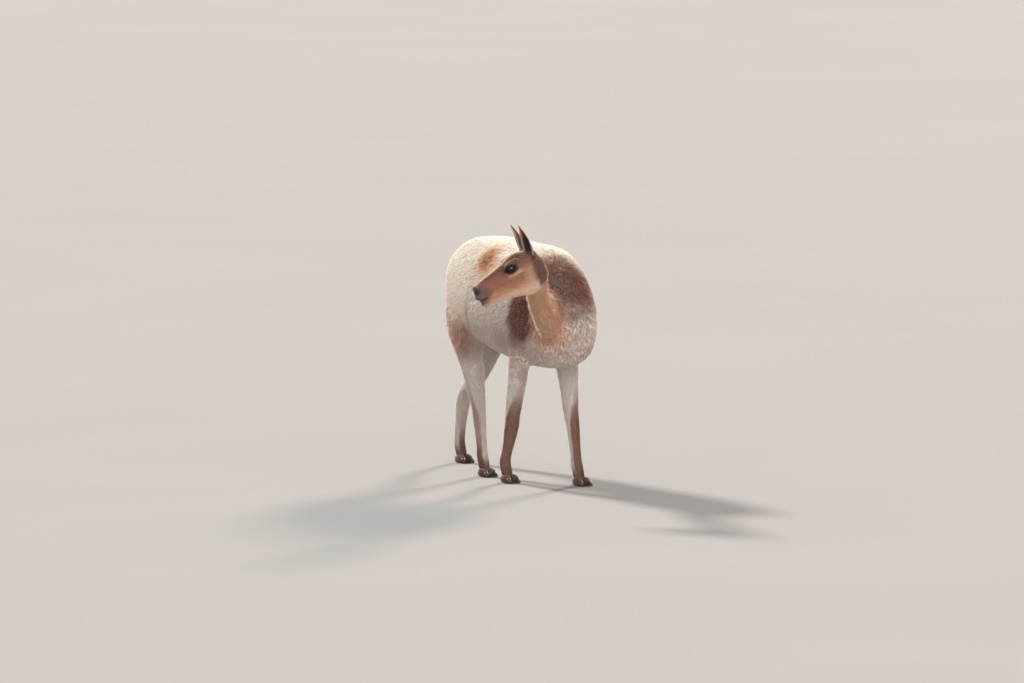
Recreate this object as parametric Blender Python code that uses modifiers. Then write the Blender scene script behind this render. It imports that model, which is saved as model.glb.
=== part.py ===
"""A life-size vicuna, a small wild camelid of the high Andes, standing in mid stride with its neck held
low and its head turned to its right.

Metres, +X from tail to chest, +Y to the animal's left, +Z up, soles at z = 0.
"""

import math
import random

import bmesh
import bpy
import numpy as np
from mathutils import Matrix, Vector

# Driving dimensions of the animal, coat included.
HEAD_PITCH = math.radians(24.0)  # the nose points below the horizon
HEAD_HEADING = math.radians(-102.0)  # where the nose points, seen from above, 0 being straight ahead
HEAD_ORIGIN = Vector((0.7585, -0.2794, 0.817))  # middle of the back of the skull
EAR_LENGTH = 0.123
EAR_TILT = 0.003  # the left ear's tip is held this much higher, and the right one's lower
EAR_HALF_WIDTH = 0.0185
EAR_WALL = 0.0028
EAR_BOW = 0.005
EYE_RADIUS = 0.0205
EYE_AT = Vector((0.101, 0.0340, 0.050))  # left eye's middle in the head's frame
LID_OPENING = (0.0185, 0.0125)  # half the width and half the height between the lids
TOE_RADII = Vector((0.034, 0.0135, 0.017))
TOE_SPREAD = 0.0135  # from the foot's middle line to each toe's
TOE_SPLAY = math.radians(6.0)
TOE_AHEAD = 0.008  # how far a toe's middle lies in front of the leg's line
TOE_HEIGHT = 0.013
GAP = 0.0003  # between two nodes that touch
TAIL_GAP = 0.0005  # a little more round the many faces of the tail's locks
BODY_VOXEL = 0.008
FINE_VOXEL = 0.0035
WHOLE_TRIANGLES = 3000

# The fleece: rounded clumps set close over a core, with their crests at the coat's outer surface.
CORE_DEPTH = 0.008
CLUMP_DARTS = 6000
CLUMP_SPACING = 0.094
CLUMP_RADII = Vector((0.069, 0.055, 0.0170))
CLUMP_SUNK = 0.0120
CLUMP_TILT = math.radians(4.0)
WOOL_LOW = 0.470  # where the fleece ends on the legs
WOOL_FULL = 0.570  # above this the clumps have their full size
WOOL_UNDER = -0.55  # a face that looks down more than this is left bare, under the belly
WOOL_LIE = Vector((-0.80, 0.0, -0.60))

# The tail's locks: flat, tapered and hanging over one another.
TAIL_LOCKS = 8
TAIL_CORE = 0.55
LOCK_SPAN = 0.34  # of the tail's length
LOCK_WIDE = 0.0175
LOCK_DEEP = 0.0070

# The trunk's sections, from rump to breast: x, top, bottom, half width.
TRUNK = [
    (-0.400, 0.715, 0.610, 0.035),
    (-0.388, 0.762, 0.558, 0.070),
    (-0.340, 0.806, 0.522, 0.094),
    (-0.255, 0.838, 0.498, 0.119),
    (-0.130, 0.853, 0.464, 0.146),
    (0.030, 0.855, 0.436, 0.162),
    (0.180, 0.849, 0.420, 0.161),
    (0.300, 0.842, 0.416, 0.149),
    (0.395, 0.784, 0.424, 0.129),
    (0.462, 0.712, 0.446, 0.101),
    (0.500, 0.640, 0.490, 0.062),
]

# The neck's middle line and its two radii, across and up-and-down: x, y, z, across, deep.
NECK = [
    (0.240, 0.000, 0.650, 0.105, 0.150),
    (0.360, -0.018, 0.632, 0.096, 0.132),
    (0.450, -0.075, 0.612, 0.055, 0.100),
    (0.540, -0.143, 0.636, 0.042, 0.070),
    (0.628, -0.214, 0.694, 0.039, 0.055),
    (0.700, -0.261, 0.752, 0.041, 0.052),
    (0.742, -0.286, 0.810, 0.041, 0.048),
]

# Each leg's middle line and its radii, fore-and-aft and across: x, y, z, long, wide. It ends over the toes.
LEGS = {
    "front_left": [
        (0.270, 0.080, 0.660, 0.075, 0.050),
        (0.262, 0.082, 0.540, 0.062, 0.045),
        (0.258, 0.085, 0.450, 0.048, 0.041),
        (0.284, 0.083, 0.345, 0.035, 0.034),
        (0.306, 0.080, 0.250, 0.029, 0.027),
        (0.318, 0.081, 0.205, 0.026, 0.0245),
        (0.336, 0.082, 0.115, 0.0205, 0.0205),
        (0.343, 0.083, 0.072, 0.0215, 0.022),
        (0.358, 0.084, 0.034, 0.020, 0.022),
        (0.366, 0.084, 0.014, 0.018, 0.018),
    ],
    "front_right": [
        (0.270, -0.080, 0.660, 0.075, 0.050),
        (0.258, -0.088, 0.540, 0.062, 0.045),
        (0.241, -0.092, 0.450, 0.047, 0.037),
        (0.231, -0.101, 0.345, 0.036, 0.034),
        (0.214, -0.107, 0.250, 0.031, 0.0285),
        (0.201, -0.104, 0.205, 0.029, 0.027),
        (0.161, -0.101, 0.115, 0.021, 0.021),
        (0.144, -0.101, 0.072, 0.0215, 0.022),
        (0.159, -0.101, 0.034, 0.020, 0.022),
        (0.167, -0.101, 0.014, 0.018, 0.018),
    ],
    "hind_left": [
        (-0.275, 0.064, 0.670, 0.118, 0.054),
        (-0.305, 0.076, 0.560, 0.104, 0.052),
        (-0.338, 0.084, 0.455, 0.072, 0.042),
        (-0.396, 0.078, 0.355, 0.047, 0.036),
        (-0.440, 0.067, 0.292, 0.039, 0.031),
        (-0.490, 0.054, 0.232, 0.033, 0.027),
        (-0.506, 0.047, 0.120, 0.021, 0.021),
        (-0.511, 0.046, 0.072, 0.0215, 0.022),
        (-0.496, 0.046, 0.034, 0.020, 0.022),
        (-0.488, 0.046, 0.014, 0.018, 0.018),
    ],
    "hind_right": [
        (-0.255, -0.056, 0.670, 0.110, 0.050),
        (-0.240, -0.073, 0.560, 0.106, 0.045),
        (-0.184, -0.083, 0.460, 0.077, 0.037),
        (-0.132, -0.088, 0.370, 0.048, 0.038),
        (-0.114, -0.084, 0.295, 0.038, 0.031),
        (-0.099, -0.083, 0.240, 0.0295, 0.0265),
        (-0.078, -0.083, 0.120, 0.021, 0.021),
        (-0.070, -0.083, 0.074, 0.0215, 0.022),
        (-0.055, -0.083, 0.034, 0.020, 0.022),
        (-0.047, -0.083, 0.014, 0.018, 0.018),
    ],
}

# The space that each leg is cut out with: a wide column under the trunk and a narrower dome above it.
REGION_REACH = 0.13  # in front of and behind the limb
REGION_WIDE = 0.135
REGION_NARROW = 0.118
REGION_INSET = 0.012
REGION_TOPS = {"front": 0.425, "hind": 0.445}  # where the column ends and the dome begins

# Where each leg leaves the trunk, a dome over the limb: its middle x, its half length and its top.
LEG_DOMES = {
    "front_left": (0.262, 0.082, 0.575),
    "front_right": (0.256, 0.082, 0.575),
    "hind_left": (-0.300, 0.128, 0.700),
    "hind_right": (-0.238, 0.156, 0.700),
}

# The tail's middle line and its radii, hanging close to the rump: x, y, z, wide, deep.
TAIL = [
    (-0.350, 0.0, 0.755, 0.030, 0.024),
    (-0.412, 0.0, 0.735, 0.033, 0.025),
    (-0.440, 0.0, 0.675, 0.037, 0.024),
    (-0.447, 0.0, 0.610, 0.036, 0.022),
    (-0.444, 0.0, 0.555, 0.022, 0.014),
    (-0.440, 0.0, 0.530, 0.008, 0.006),
]

# Where the neck leaves the trunk, and which way.
NECK_CUT = Vector((0.462, -0.078, 0.615))
NECK_WAY = Vector((0.70, -0.58, 0.20)).normalized()

# The upper head's sections in the head's own frame: along, top, bottom, half width.
SKULL = [
    (-0.018, 0.036, -0.032, 0.030),
    (-0.004, 0.058, -0.046, 0.042),
    (0.022, 0.076, -0.052, 0.049),
    (0.055, 0.087, -0.052, 0.052),
    (0.085, 0.085, -0.040, 0.050),
    (0.110, 0.076, -0.030, 0.046),
    (0.138, 0.067, -0.022, 0.037),
    (0.168, 0.060, -0.016, 0.030),
    (0.196, 0.054, -0.012, 0.0265),
    (0.218, 0.048, -0.008, 0.0265),
    (0.236, 0.038, -0.002, 0.024),
    (0.247, 0.025, 0.006, 0.014),
]

# The lower jaw's sections in the head's own frame: along, top, bottom, half width.
JAW = [
    (0.020, -0.014, -0.064, 0.032),
    (0.060, -0.014, -0.067, 0.036),
    (0.100, -0.014, -0.060, 0.032),
    (0.140, -0.012, -0.050, 0.026),
    (0.175, -0.008, -0.045, 0.022),
    (0.205, -0.004, -0.041, 0.021),
    (0.228, -0.003, -0.034, 0.018),
    (0.239, -0.004, -0.021, 0.010),
]

# Rounded forms over the skull, mirrored where their middle is off the plane: middle, then radii.
HEAD_FORMS = [
    ((0.060, 0.026, -0.028), (0.048, 0.022, 0.040)),  # cheek
    ((0.088, 0.040, 0.067), (0.026, 0.010, 0.010)),  # brow
    ((0.018, 0.033, 0.060), (0.021, 0.014, 0.018)),  # root of the ear
    ((0.234, 0.013, 0.027), (0.012, 0.010, 0.014)),  # wing of the nostril
    ((0.228, 0.014, 0.000), (0.021, 0.012, 0.015)),  # upper lip
    ((0.223, 0.000, -0.027), (0.017, 0.017, 0.014)),  # chin
    ((0.101, 0.0340, 0.050), (0.0255, 0.0245, 0.0235)),  # lids
]

# The line of the mouth on the left side in the head's frame, from its corner to the front of the lips.
MOUTH = [
    (0.178, 0.0275, -0.022),
    (0.198, 0.0270, -0.017),
    (0.216, 0.0265, -0.013),
    (0.234, 0.0205, -0.012),
    (0.244, 0.0100, -0.012),
    (0.248, 0.0000, -0.012),
]

# A toenail's sections, forward from the middle of its toe: along, height above ground, half width, rise.
NAIL = [(0.024, 0.0135, 0.0088, 0.0100), (0.036, 0.0105, 0.0082, 0.0085), (0.046, 0.0065, 0.0050, 0.0050)]

# Nodes' finish: colour and roughness.
FAWN = ((0.42, 0.20, 0.10), 0.85)
CREAM = ((0.72, 0.62, 0.50), 0.9)
DARK = ((0.012, 0.010, 0.009), 0.12)
HORN = ((0.035, 0.028, 0.024), 0.45)


def clear_scene():
    for obj in list(bpy.data.objects):
        bpy.data.objects.remove(obj)


def spline(rows, steps):
    """Rows of numbers read along a Catmull-Rom curve, with steps between each two given rows."""
    rows = np.array(rows, float)
    ends = np.vstack([2 * rows[0] - rows[1], rows, 2 * rows[-1] - rows[-2]])
    read = []
    for i in range(1, len(ends) - 2):
        p0, p1, p2, p3 = ends[i - 1 : i + 3]
        for s in np.linspace(0, 1, steps, endpoint=False):
            linear = (p2 - p0) * s
            square = (2 * p0 - 5 * p1 + 4 * p2 - p3) * s**2
            cubic = (3 * p1 - p0 - 3 * p2 + p3) * s**3
            read.append(0.5 * (2 * p1 + linear + square + cubic))
    read.append(rows[-1])
    return np.array(read)


def ring(centre, across, up, half_width, above, below, sides, power=2.0):
    """One closed section: a rounded oval that may be taller above its centre than below."""
    points = []
    for k in range(sides):
        turn = 2 * math.pi * k / sides
        c, s = math.cos(turn), math.sin(turn)
        w = half_width * math.copysign(abs(c) ** (2 / power), c)
        h = (above if s > 0 else below) * math.copysign(abs(s) ** (2 / power), s)
        points.append(centre + across * w + up * h)
    return points


def add_loft(mesh, rings):
    """Skins a closed tube through the rings, with a fan at each end."""
    rows = [[mesh.verts.new(p) for p in points] for points in rings]
    for one, two in zip(rows, rows[1:]):
        for k in range(len(one)):
            n = (k + 1) % len(one)
            mesh.faces.new((one[k], one[n], two[n], two[k]))
    for row, turned in ((rows[0], True), (rows[-1], False)):
        middle = mesh.verts.new(sum((v.co for v in row), Vector()) / len(row))
        for k in range(len(row)):
            n = (k + 1) % len(row)
            mesh.faces.new((row[n], row[k], middle) if turned else (row[k], row[n], middle))


def add_ball(mesh, place, radii, detail=3):
    """An ellipsoid, with its middle and its axes given by the matrix place."""
    shape = place @ Matrix.Diagonal((*radii, 1.0))
    bmesh.ops.create_icosphere(mesh, subdivisions=detail, radius=1.0, matrix=shape)


def object_of(mesh, name):
    """Turns a bmesh into an object, with the faces of each closed body pointing out."""
    bmesh.ops.recalc_face_normals(mesh, faces=mesh.faces[:])
    data = bpy.data.meshes.new(name)
    mesh.to_mesh(data)
    mesh.free()
    obj = bpy.data.objects.new(name, data)
    bpy.context.scene.collection.objects.link(obj)
    return obj


def loft_object(name, rings):
    mesh = bmesh.new()
    add_loft(mesh, list(rings))
    bmesh.ops.triangulate(mesh, faces=mesh.faces[:])
    return object_of(mesh, name)


def copy_of(obj, name):
    twin = bpy.data.objects.new(name, obj.data.copy())
    twin.matrix_world = obj.matrix_world
    bpy.context.scene.collection.objects.link(twin)
    return twin


def settle(obj):
    """Replaces an object's mesh by what its modifiers make of it."""
    bpy.context.view_layer.update()
    graph = bpy.context.evaluated_depsgraph_get()
    data = bpy.data.meshes.new_from_object(obj.evaluated_get(graph))
    obj.modifiers.clear()
    obj.data = data
    return obj


def remeshed(obj, voxel, smoothing):
    """Fuses the closed bodies of a mesh into one skin and rounds the creases between them."""
    remesh = obj.modifiers.new("fuse", "REMESH")
    remesh.mode = "VOXEL"
    remesh.voxel_size = voxel
    smooth = obj.modifiers.new("round", "SMOOTH")
    smooth.factor = 0.5
    smooth.iterations = smoothing
    return settle(obj)


def thinned(obj, triangles):
    """Brings a mesh down to about this many triangles, most of them where it bends most."""
    obj.data.calc_loop_triangles()
    thin = obj.modifiers.new("thin", "DECIMATE")
    thin.ratio = triangles / len(obj.data.loop_triangles)
    return settle(obj)


def combine(obj, others, operation):
    """Joins, cuts or trims obj by the other closed meshes, which are then removed."""
    group = bpy.data.collections.new("operands")
    for other in others:
        group.objects.link(other)
    boolean = obj.modifiers.new("combine", "BOOLEAN")
    boolean.operation = operation
    boolean.solver = "MANIFOLD"
    boolean.operand_type = "COLLECTION"
    boolean.collection = group
    settle(obj)
    bpy.data.collections.remove(group)
    for other in others:
        bpy.data.objects.remove(other)
    return obj


def keep_largest(obj):
    """Keeps only the largest closed surface, so that a sealed hollow or a loose scrap goes."""
    mesh = bmesh.new()
    mesh.from_mesh(obj.data)
    todo = set(mesh.verts)
    islands = []
    while todo:
        edge = [todo.pop()]
        island = set(edge)
        while edge:
            for link in edge.pop().link_edges:
                for vert in link.verts:
                    if vert not in island:
                        island.add(vert)
                        todo.discard(vert)
                        edge.append(vert)
        islands.append(island)
    islands.sort(key=len)
    bmesh.ops.delete(mesh, geom=[v for island in islands[:-1] for v in island], context="VERTS")
    mesh.to_mesh(obj.data)
    mesh.free()
    return obj


def grown(obj, by):
    """A copy of a closed mesh with its surface moved out."""
    twin = copy_of(obj, "grown")
    mesh = bmesh.new()
    mesh.from_mesh(twin.data)
    bmesh.ops.recalc_face_normals(mesh, faces=mesh.faces[:])
    mesh.normal_update()
    for vert in mesh.verts:
        vert.co += vert.normal * (by * min(vert.calc_shell_factor(), 2.0))
    mesh.to_mesh(twin.data)
    mesh.free()
    return twin


def trunk_rings(sides=40):
    for x, top, bottom, half_width in spline(TRUNK, 4):
        middle = bottom + 0.47 * (top - bottom)
        across, up = Vector((0, 1, 0)), Vector((0, 0, 1))
        yield ring(Vector((x, 0, middle)), across, up, half_width, top - middle, middle - bottom, sides, 2.15)


def tube_rings(rows, steps, sides, guide=None):
    """Sections along a middle line. Each one's first radius points along the guide, or else lies level."""
    read = spline(rows, steps)
    places = [Vector(r[:3]) for r in read]
    for i, row in enumerate(read):
        along = places[min(i + 1, len(places) - 1)] - places[max(i - 1, 0)]
        along.normalize()
        across = guide - along * along.dot(guide) if guide else along.cross(Vector((0, 0, 1)))
        across.normalize()
        up = across.cross(along).normalized()
        yield ring(places[i], across, up, row[3], row[4], row[4], sides)


def head_frame():
    """The head's own axes: along the nose, to its left and up, from the middle of the back of the skull."""
    heading = Matrix.Rotation(HEAD_HEADING, 4, "Z")
    pitch = Matrix.Rotation(HEAD_PITCH, 4, "Y")
    return Matrix.Translation(HEAD_ORIGIN) @ heading @ pitch


def head_rings(rows, sides, widest):
    """Sections of the head. Widest says how far up each section is at its widest."""
    frame = head_frame()
    turn = frame.to_3x3()
    across, up = turn @ Vector((0, 1, 0)), turn @ Vector((0, 0, 1))
    for a, top, bottom, half_width in spline(rows, 3):
        middle = bottom + widest * (top - bottom)
        centre = frame @ Vector((a, 0, middle))
        yield ring(centre, across, up, half_width, top - middle, middle - bottom, sides, 2.2)


def sides_of(point):
    """A point of the left side and its mirror image on the right, or itself alone on the middle plane."""
    x, y, z = point
    return [Vector((x, y, z)), Vector((x, -y, z))] if abs(y) > 1e-6 else [Vector(point)]


def build_body():
    """Trunk, neck and legs as one smooth skin."""
    mesh = bmesh.new()
    add_loft(mesh, list(trunk_rings()))
    add_loft(mesh, list(tube_rings(NECK, 4, 28)))
    for rows in LEGS.values():
        add_loft(mesh, list(tube_rings(rows, 4, 20, Vector((1, 0, 0)))))
    return remeshed(object_of(mesh, "body"), BODY_VOXEL, 6)


def add_head(body):
    """The head's forms, fused with the body into one finer skin."""
    frame = head_frame()
    mesh = bmesh.new()
    mesh.from_mesh(body.data)
    add_loft(mesh, list(head_rings(SKULL, 28, 0.55)))
    add_loft(mesh, list(head_rings(JAW, 24, 0.60)))
    for middle, radii in HEAD_FORMS:
        for point in sides_of(middle):
            add_ball(mesh, frame @ Matrix.Translation(point), radii)
    bpy.data.objects.remove(body)
    return thinned(remeshed(object_of(mesh, "whole"), FINE_VOXEL, 4), WHOLE_TRIANGLES)


def wool_weight(point):
    """How woolly the body is at a point: 1 on the trunk, fading to 0 down each leg and at the neck's root."""
    down = min(max((point.z - WOOL_LOW) / 0.05, 0.0), 1.0)
    beyond = (point - NECK_CUT).dot(NECK_WAY)
    aside = (point - NECK_CUT - NECK_WAY * beyond).length
    neck = min(max((0.02 - beyond) / 0.04, 0.0), 1.0) if aside < 0.15 or beyond > 0.12 else 1.0
    return min(down, neck)


def clump_scale(point):
    """Clumps are smaller on the thighs and shoulders' lower part, where the wool is shorter."""
    return 0.66 if point.z < WOOL_FULL else 1.0


def wool_places(mesh, draw):
    """Spreads places over the fleece by a seeded draw, none too near another, each with its outward way."""
    woolly = [f for f in mesh.faces if wool_weight(f.calc_center_median()) > 0.5 and f.normal.z > WOOL_UNDER]
    found = []
    for face in draw.choices(woolly, [f.calc_area() for f in woolly], k=CLUMP_DARTS):
        a, b, c = face.verts
        s, t = draw.random(), draw.random()
        if s + t > 1:
            s, t = 1 - s, 1 - t
        place = a.co + (b.co - a.co) * s + (c.co - a.co) * t
        if all((place - other).length > CLUMP_SPACING * clump_scale(place) for other, _ in found):
            found.append((place, (a.normal * (1 - s - t) + b.normal * s + c.normal * t).normalized()))
    return found


def add_fleece(whole):
    """Sinks the trunk to a core and sets the fleece's rounded clumps close over it."""
    draw = random.Random(7)
    mesh = bmesh.new()
    mesh.from_mesh(whole.data)
    bmesh.ops.triangulate(mesh, faces=mesh.faces[:])
    mesh.normal_update()
    places = wool_places(mesh, draw)
    for vert, way in [(v, v.normal.copy()) for v in mesh.verts]:
        vert.co -= way * (CORE_DEPTH * wool_weight(vert.co))
    mesh.to_mesh(whole.data)
    mesh.free()
    clumps = []
    for place, out in places:
        back = (WOOL_LIE - out * WOOL_LIE.dot(out)).normalized()
        turn = Matrix((back, out.cross(back), out)).transposed().to_4x4()
        twist = Matrix.Rotation(draw.uniform(-0.3, 0.3), 4, "Z") @ Matrix.Rotation(-CLUMP_TILT, 4, "Y")
        size = CLUMP_RADII * (draw.uniform(0.90, 1.08) * clump_scale(place))
        size.z = CLUMP_RADII.z
        shape = Matrix.Translation(place - out * CLUMP_SUNK) @ turn @ twist @ Matrix.Diagonal((*size, 1.0))
        mesh = bmesh.new()
        bmesh.ops.create_uvsphere(mesh, u_segments=6, v_segments=4, radius=1.0, matrix=shape)
        bmesh.ops.triangulate(mesh, faces=mesh.faces[:])
        clumps.append(object_of(mesh, "clump"))
    return combine(whole, clumps, "UNION")


def eye_place(side):
    """The eye's own axes: +X forward along the face, +Y out through the pupil, +Z up."""
    middle = Vector((EYE_AT.x, EYE_AT.y * side, EYE_AT.z))
    look = Matrix.Rotation(math.radians(-14.0 * side), 4, "Z")
    tilt = Matrix.Rotation(math.radians(8.0), 4, "Y")
    return head_frame() @ Matrix.Translation(middle) @ look @ tilt


def lens_rings(side, sides=20):
    """The opening between the lids, an almond that runs out along the eye's axis and widens a little."""
    place = eye_place(side)
    half_width, half_height = LID_OPENING
    for out, scale in ((0.25, 0.9), (0.9, 1.0), (1.5, 1.2)):
        points = []
        for k in range(sides):
            turn = 2 * math.pi * k / sides
            c, s = math.cos(turn), math.sin(turn)
            x = half_width * scale * math.copysign(abs(c) ** 1.15, c)
            z = half_height * scale * math.copysign(abs(s) ** 1.3, s)
            points.append(place @ Vector((x, EYE_RADIUS * out * side, z)))
        yield points


def carve_face(whole):
    """Eye sockets with lids, nostrils, the line of the mouth and the cleft of the upper lip."""
    frame = head_frame()
    sockets, openings = [], []
    for side in (1, -1):
        mesh = bmesh.new()
        add_ball(mesh, eye_place(side), [EYE_RADIUS + GAP] * 3)
        sockets.append(object_of(mesh, "socket"))
        openings.append(loft_object("opening", lens_rings(side)))
        mesh = bmesh.new()
        lean = Matrix.Rotation(math.radians(-28.0), 4, "Y")
        nostril = frame @ Matrix.Translation(Vector((0.2455, 0.0135 * side, 0.0285))) @ lean
        add_ball(mesh, nostril, (0.0045, 0.0032, 0.0085), 2)
        openings.append(object_of(mesh, "nostril"))
    lips = [(a, b, c, 0.0022, 0.0022) for a, b, c in MOUTH]
    lips += [(a, -b, c, 0.0022, 0.0022) for a, b, c in MOUTH[-2::-1]]
    mesh = bmesh.new()
    add_loft(mesh, list(tube_rings(lips, 2, 8)))
    line = object_of(mesh, "mouth")
    line.data.transform(frame)
    cleft = [(0.2515, 0, -0.014, 0.0016, 0.0016), (0.2535, 0, 0.000, 0.0016, 0.0016)]
    cleft.append((0.2520, 0, 0.016, 0.0016, 0.0016))
    mesh = bmesh.new()
    add_loft(mesh, list(tube_rings(cleft, 2, 8, Vector((1, 0, 0)))))
    split = object_of(mesh, "cleft")
    split.data.transform(frame)
    return combine(whole, [*sockets, *openings, line, split], "DIFFERENCE")


def foot_points():
    """The middle of each foot's toes, from the end of its leg's line."""
    return {name: Vector((rows[-1][0] + TOE_AHEAD, rows[-1][1], TOE_HEIGHT)) for name, rows in LEGS.items()}


def add_toes(whole):
    """Two padded toes to each foot, and the soles cut flat on the ground."""
    toes = []
    for middle in foot_points().values():
        for side in (1, -1):
            mesh = bmesh.new()
            splay = Matrix.Rotation(TOE_SPLAY * side, 4, "Z")
            place = Matrix.Translation(middle + Vector((0, TOE_SPREAD * side, 0))) @ splay
            shape = place @ Matrix.Diagonal((*TOE_RADII, 1.0))
            bmesh.ops.create_uvsphere(mesh, u_segments=10, v_segments=6, radius=1.0, matrix=shape)
            toes.append(object_of(mesh, "toe"))
    combine(whole, toes, "UNION")
    bpy.ops.mesh.primitive_cube_add(size=2.0, location=(0, 0, -1.0))
    ground = bpy.context.object
    ground.name = "ground"
    return combine(whole, [ground], "DIFFERENCE")


def leg_region(name):
    """The space that belongs to one leg: a wide column below the trunk with a dome over the limb."""
    middle, half_length, top = LEG_DOMES[name]
    side = 1 if name.endswith("left") else -1
    foot = LEGS[name][-1][0]
    low, high = min(middle, foot) - REGION_REACH, max(middle, foot) + REGION_REACH
    brisket = REGION_TOPS[name.split("_")[0]]
    rings = []
    across, up = Vector((1, 0, 0)), Vector((0, 1, 0))
    for z in (-0.05, brisket - REGION_INSET):
        centre = Vector(((low + high) / 2, (REGION_WIDE + REGION_INSET) * side, z))
        rings.append(ring(centre, across, up, (high - low) / 2, REGION_WIDE, REGION_WIDE, 18, 4.0))
    for lift in (0.0, 0.35, 0.62, 0.82, 0.95, 1.0):
        z = brisket + (top - brisket) * lift
        size = max(math.sqrt(1 - lift**2.2), 0.03)
        centre = Vector((middle, (REGION_NARROW + REGION_INSET) * side, z))
        long, broad = half_length * size, REGION_NARROW * (0.4 + 0.6 * size)
        rings.append(ring(centre, across, up, long, broad, broad, 18, 2.4))
    return loft_object("region_" + name, rings)


def straight_region(name, start, along, radius, length):
    """A long round bar that begins with a flat face at start and runs along its axis."""
    along = along.normalized()
    across = along.cross(Vector((0, 0, 1))).normalized()
    up = across.cross(along)
    ends = (start, start + along * length)
    return loft_object(name, [ring(p, across, up, radius, radius, radius, 24) for p in ends])


def neck_region():
    return straight_region("region_neck", NECK_CUT, NECK_WAY, 0.150, 1.2)


def head_region():
    frame = head_frame()
    along = frame.to_3x3() @ Vector((0.72, 0.22, 0.66))
    return straight_region("region_head", frame @ Vector((0.0, 0.0, -0.024)), along, 0.5, 1.2)


def cut_nodes(whole):
    """Parts the whole body with thin cuts into head, neck, torso and four legs."""
    regions = {"head": head_region(), "neck": neck_region()}
    for name in LEGS:
        regions["leg_" + name] = leg_region(name)
    nodes = {"torso": copy_of(whole, "torso")}
    limbs = [grown(region, GAP) for name, region in regions.items() if name != "head"]
    combine(nodes["torso"], limbs, "DIFFERENCE")
    beyond = grown(regions["head"], GAP)
    for name, region in regions.items():
        nodes[name] = combine(copy_of(whole, name), [region], "INTERSECT")
    combine(nodes["neck"], [beyond], "DIFFERENCE")
    for obj in nodes.values():
        keep_largest(obj)
    return nodes


def build_ear(side):
    """One upright ear: a leaf of hide rolled into a cup that opens forward and out."""
    frame = head_frame()
    base = Vector((0.019, 0.034 * side, 0.050))
    tip = Vector((0.021, 0.060 * side, 0.050 + EAR_LENGTH + EAR_TILT * side))
    up = (tip - base).normalized()
    opening = Vector((0.80, 0.60 * side, 0.0))
    opening = (opening - up * opening.dot(up)).normalized()
    across = up.cross(opening)
    mesh = bmesh.new()
    rows = []
    for i in range(9):
        s = i / 8
        width = EAR_HALF_WIDTH * (math.sin(math.pi * (0.20 + 0.78 * s)) ** 1.2)
        roll = math.radians(125 - 75 * s**0.6)
        radius = width / max(math.sin(min(roll, math.pi / 2)), 0.5)
        centre = base.lerp(tip, s) + opening * (EAR_BOW * math.sin(math.pi * s))
        row = []
        for k in range(9):
            turn = roll * (k / 4 - 1)
            way = across * math.sin(turn) - opening * math.cos(turn)
            row.append(mesh.verts.new(frame @ (centre + way * radius)))
        rows.append(row)
    for one, two in zip(rows, rows[1:]):
        for k in range(8):
            mesh.faces.new((one[k], one[k + 1], two[k + 1], two[k]))
    obj = object_of(mesh, "ear_left" if side > 0 else "ear_right")
    wall = obj.modifiers.new("wall", "SOLIDIFY")
    wall.thickness = EAR_WALL
    wall.offset = 0.0
    return settle(obj)


def build_tail():
    """The short tail: a slim core under flat tapered locks that hang over one another."""
    line = spline(TAIL, 8)
    core = [(x, y, z, wide * TAIL_CORE, deep * TAIL_CORE) for x, y, z, wide, deep in TAIL]
    tail = loft_object("tail", tube_rings(core, 2, 8, Vector((0, 1, 0))))
    draw = random.Random(3)
    locks = []
    for i in range(TAIL_LOCKS):
        start = 0.05 + (0.93 - LOCK_SPAN) * i / (TAIL_LOCKS - 1)
        around = 2.4 * i + draw.uniform(-0.2, 0.2)
        rings = []
        for reach, lift, size in ((0.0, 0.30, 0.6), (0.3, 0.72, 1.0), (0.65, 0.80, 0.85), (1.0, 0.72, 0.12)):
            row = line[round((start + LOCK_SPAN * reach) * (len(line) - 1))]
            side = Vector((math.sin(around) * row[4], math.cos(around) * row[3], 0.0)) * lift
            out = Vector((math.sin(around), math.cos(around), 0.0))
            across = Vector((math.cos(around), -math.sin(around), 0.0))
            rings.append(ring(Vector(row[:3]) + side, across, out, LOCK_WIDE * size, LOCK_DEEP * size,
                              LOCK_DEEP * size, 5))
        locks.append(loft_object("lock", rings))
    return combine(tail, locks, "UNION")


def build_nail(name, middle, side):
    """The dark curved nail at the tip of one toe."""
    splay = Matrix.Rotation(TOE_SPLAY * side, 4, "Z")
    place = Matrix.Translation(middle + Vector((0, TOE_SPREAD * side, 0))) @ splay
    across, up = splay.to_3x3() @ Vector((0, 1, 0)), Vector((0, 0, 1))
    rings = []
    for x, z, wide, high in NAIL:
        centre = place @ Vector((x, 0, z - middle.z))
        rings.append(ring(centre, across, up, wide, high, z, 7))
    return loft_object(name, rings)


def paint(obj, name, finish):
    """Gives an object its own plain material and shades it smooth."""
    colour, roughness = finish
    material = bpy.data.materials.new(name)
    material.use_nodes = True
    shader = material.node_tree.nodes["Principled BSDF"]
    shader.inputs["Base Color"].default_value = (*colour, 1.0)
    shader.inputs["Roughness"].default_value = roughness
    obj.data.materials.clear()
    obj.data.materials.append(material)
    obj.data.shade_smooth()


def stand_on_origin(objects):
    """Moves the animal so that the origin is under the middle of its box, on the ground."""
    points = [obj.matrix_world @ v.co for obj in objects for v in obj.data.vertices]
    low = Vector([min(p[i] for p in points) for i in range(3)])
    high = Vector([max(p[i] for p in points) for i in range(3)])
    shift = Matrix.Translation(Vector((-(low.x + high.x) / 2, -(low.y + high.y) / 2, 0.0)))
    for obj in objects:
        obj.data.transform(shift)


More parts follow.
